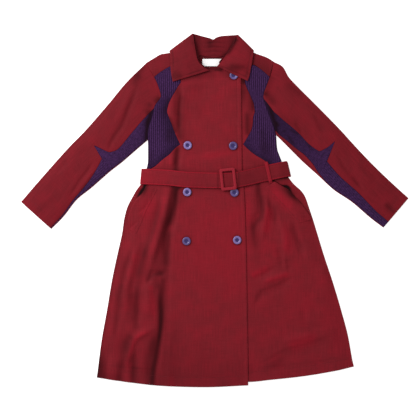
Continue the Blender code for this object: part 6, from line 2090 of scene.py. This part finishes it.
class COAT_OT_fronts(bpy.types.Operator):
    """Build both fronts with their creases"""

    bl_idname = "coat.fronts"
    bl_label = "Fronts"

    def execute(self, context):
        make_front("left")
        make_front("right")
        return {"FINISHED"}


class COAT_OT_side_panels(bpy.types.Operator):
    """Build the ribbed side panels"""

    bl_idname = "coat.side_panels"
    bl_label = "Side Panels"

    def execute(self, context):
        for side in SIDES:
            make_side_panel(side)
        return {"FINISHED"}


class COAT_OT_yokes(bpy.types.Operator):
    """Build the shoulder yokes"""

    bl_idname = "coat.yokes"
    bl_label = "Yokes"

    def execute(self, context):
        for side in SIDES:
            make_yoke(side)
        return {"FINISHED"}


class COAT_OT_sleeves(bpy.types.Operator):
    """Build both sleeves with their ribbed gussets"""

    bl_idname = "coat.sleeves"
    bl_label = "Sleeves"

    def execute(self, context):
        for side in SIDES:
            sleeve = Sleeve(side)
            sleeve.make_upper()
            sleeve.make_gusset()
            sleeve.make_under()
        return {"FINISHED"}


class COAT_OT_collar(bpy.types.Operator):
    """Build the collar's fall and stand"""

    bl_idname = "coat.collar"
    bl_label = "Collar"

    def execute(self, context):
        make_collar_part("collar_fall", COLLAR_FALL, FALL_GRID, FALL_BULGE, fall_crease, fall_painted_shade)
        make_collar_part("collar_stand", COLLAR_STAND, STAND_GRID, 0.0, stand_crease, stand_painted_shade)
        return {"FINISHED"}


class COAT_OT_label(bpy.types.Operator):
    """Build the bare neck label"""

    bl_idname = "coat.label"
    bl_label = "Neck Label"

    def execute(self, context):
        make_label()
        return {"FINISHED"}


class COAT_OT_pocket_welts(bpy.types.Operator):
    """Build the welts of the slant pockets"""

    bl_idname = "coat.pocket_welts"
    bl_label = "Pocket Welts"

    def execute(self, context):
        for side in WELTS:
            make_welt(side)
        return {"FINISHED"}


class COAT_OT_belt(bpy.types.Operator):
    """Build the belt and its loop"""

    bl_idname = "coat.belt"
    bl_label = "Belt"

    def execute(self, context):
        make_belt()
        make_belt_loop()
        return {"FINISHED"}


class COAT_OT_buckle(bpy.types.Operator):
    """Build the covered buckle"""

    bl_idname = "coat.buckle"
    bl_label = "Buckle"

    def execute(self, context):
        make_buckle()
        return {"FINISHED"}


class COAT_OT_buttons(bpy.types.Operator):
    """Build the buttons"""

    bl_idname = "coat.buttons"
    bl_label = "Buttons"

    def execute(self, context):
        for button in BUTTONS:
            make_button(button)
        return {"FINISHED"}


class COAT_OT_stitching(bpy.types.Operator):
    """Build the topstitching"""

    bl_idname = "coat.stitching"
    bl_label = "Stitching"

    def execute(self, context):
        drape = Drape()
        put_stitches("stitches_fronts", front_stitch_paths(drape))
        put_stitches("stitches_collar", collar_stitch_paths())
        put_stitches("stitches_belt", belt_stitch_paths(drape))
        put_stitches("stitches_welts", welt_stitch_paths(drape))
        put_stitches("stitches_cuffs", cuff_stitch_paths(drape))
        put_stitches("stitches_label", label_stitch_paths(drape), "label", "woven_label")
        return {"FINISHED"}


def make_floor():
    """Pale plain floor that stays white under the light."""
    half = FLOOR_SIZE / 2
    mesh = bpy.data.meshes.new("floor")
    corners = [(x, y, -FLOOR_DROP) for x, y in ((-half, -half), (half, -half), (half, half), (-half, half))]
    mesh.from_pydata(corners, [], [(0, 1, 2, 3)])
    made = Finish("floor", roughness=0.9, Specular_IOR_Level=0.0, Emission_Strength=FLOOR_SHINE)
    made.colour(grey(FLOOR_GREY))
    made.feed(made.shader.inputs["Emission Color"], grey(1.0))
    mesh.materials.append(made.material)
    floor = bpy.data.objects.new("floor", mesh)
    bpy.context.scene.collection.objects.link(floor)


def aim(thing, target):
    thing.rotation_euler = (Vector(target) - thing.location).to_track_quat("-Z", "Y").to_euler()


class COAT_OT_stage(bpy.types.Operator):
    """Build the floor, the light and the camera"""

    bl_idname = "coat.stage"
    bl_label = "Stage"

    def execute(self, context):
        scene, stage = context.scene, context.scene.coat_stage
        make_floor()
        world = bpy.data.worlds.new("studio")
        world.use_nodes = True
        world.node_tree.nodes["Background"].inputs["Color"].default_value = grey(1.0)
        world.node_tree.nodes["Background"].inputs["Strength"].default_value = stage.fill
        scene.world = world
        light = bpy.data.lights.new("key", "AREA")
        light.energy, light.size = stage.key, KEY_SIZE
        key = bpy.data.objects.new("key", light)
        key.location = KEY_PLACE
        aim(key, (0.0, 0.0, 0.0))
        scene.collection.objects.link(key)
        camera = bpy.data.cameras.new("camera")
        camera.sensor_width = SENSOR
        camera.lens = SENSOR * stage.camera_height / stage.view_width
        eye = bpy.data.objects.new("camera", camera)
        eye.location = (*VIEW_CENTRE, stage.camera_height)
        scene.collection.objects.link(eye)
        scene.camera = eye
        scene.view_settings.view_transform = "Standard"
        return {"FINISHED"}


PIECES = (
    COAT_OT_back,
    COAT_OT_fronts,
    COAT_OT_side_panels,
    COAT_OT_yokes,
    COAT_OT_sleeves,
    COAT_OT_collar,
    COAT_OT_label,
    COAT_OT_pocket_welts,
    COAT_OT_belt,
    COAT_OT_buckle,
    COAT_OT_buttons,
    COAT_OT_stitching,
    COAT_OT_stage,
)


class VIEW3D_PT_coat(bpy.types.Panel):
    """Sizes, colours and pieces of the coat"""

    bl_idname = "VIEW3D_PT_coat"
    bl_label = "Belted Coat"
    bl_space_type = "VIEW_3D"
    bl_region_type = "UI"
    bl_category = "Coat"

    def draw(self, context):
        scene = context.scene
        for heading, group in (
            ("Sizes", scene.coat_sizes), ("Colours", scene.coat_colours), ("Stage", scene.coat_stage),
        ):
            box = self.layout.box()
            box.label(text=heading)
            for name in group.__annotations__:
                box.prop(group, name)
        for piece in PIECES:
            self.layout.operator(piece.bl_idname)


GROUPS = {"coat_sizes": CoatSizes, "coat_colours": CoatColours, "coat_stage": CoatStage}
CLASSES = (*GROUPS.values(), *PIECES, VIEW3D_PT_coat)


def register():
    for made in CLASSES:
        bpy.utils.register_class(made)
    for name, group in GROUPS.items():
        setattr(bpy.types.Scene, name, PointerProperty(type=group))


def unregister():
    for name in GROUPS:
        delattr(bpy.types.Scene, name)
    for made in reversed(CLASSES):
        bpy.utils.unregister_class(made)


def main():
    register()
    for piece in PIECES:
        group, name = piece.bl_idname.split(".")
        getattr(getattr(bpy.ops, group), name)()
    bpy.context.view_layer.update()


if __name__ == "__main__":
    main()
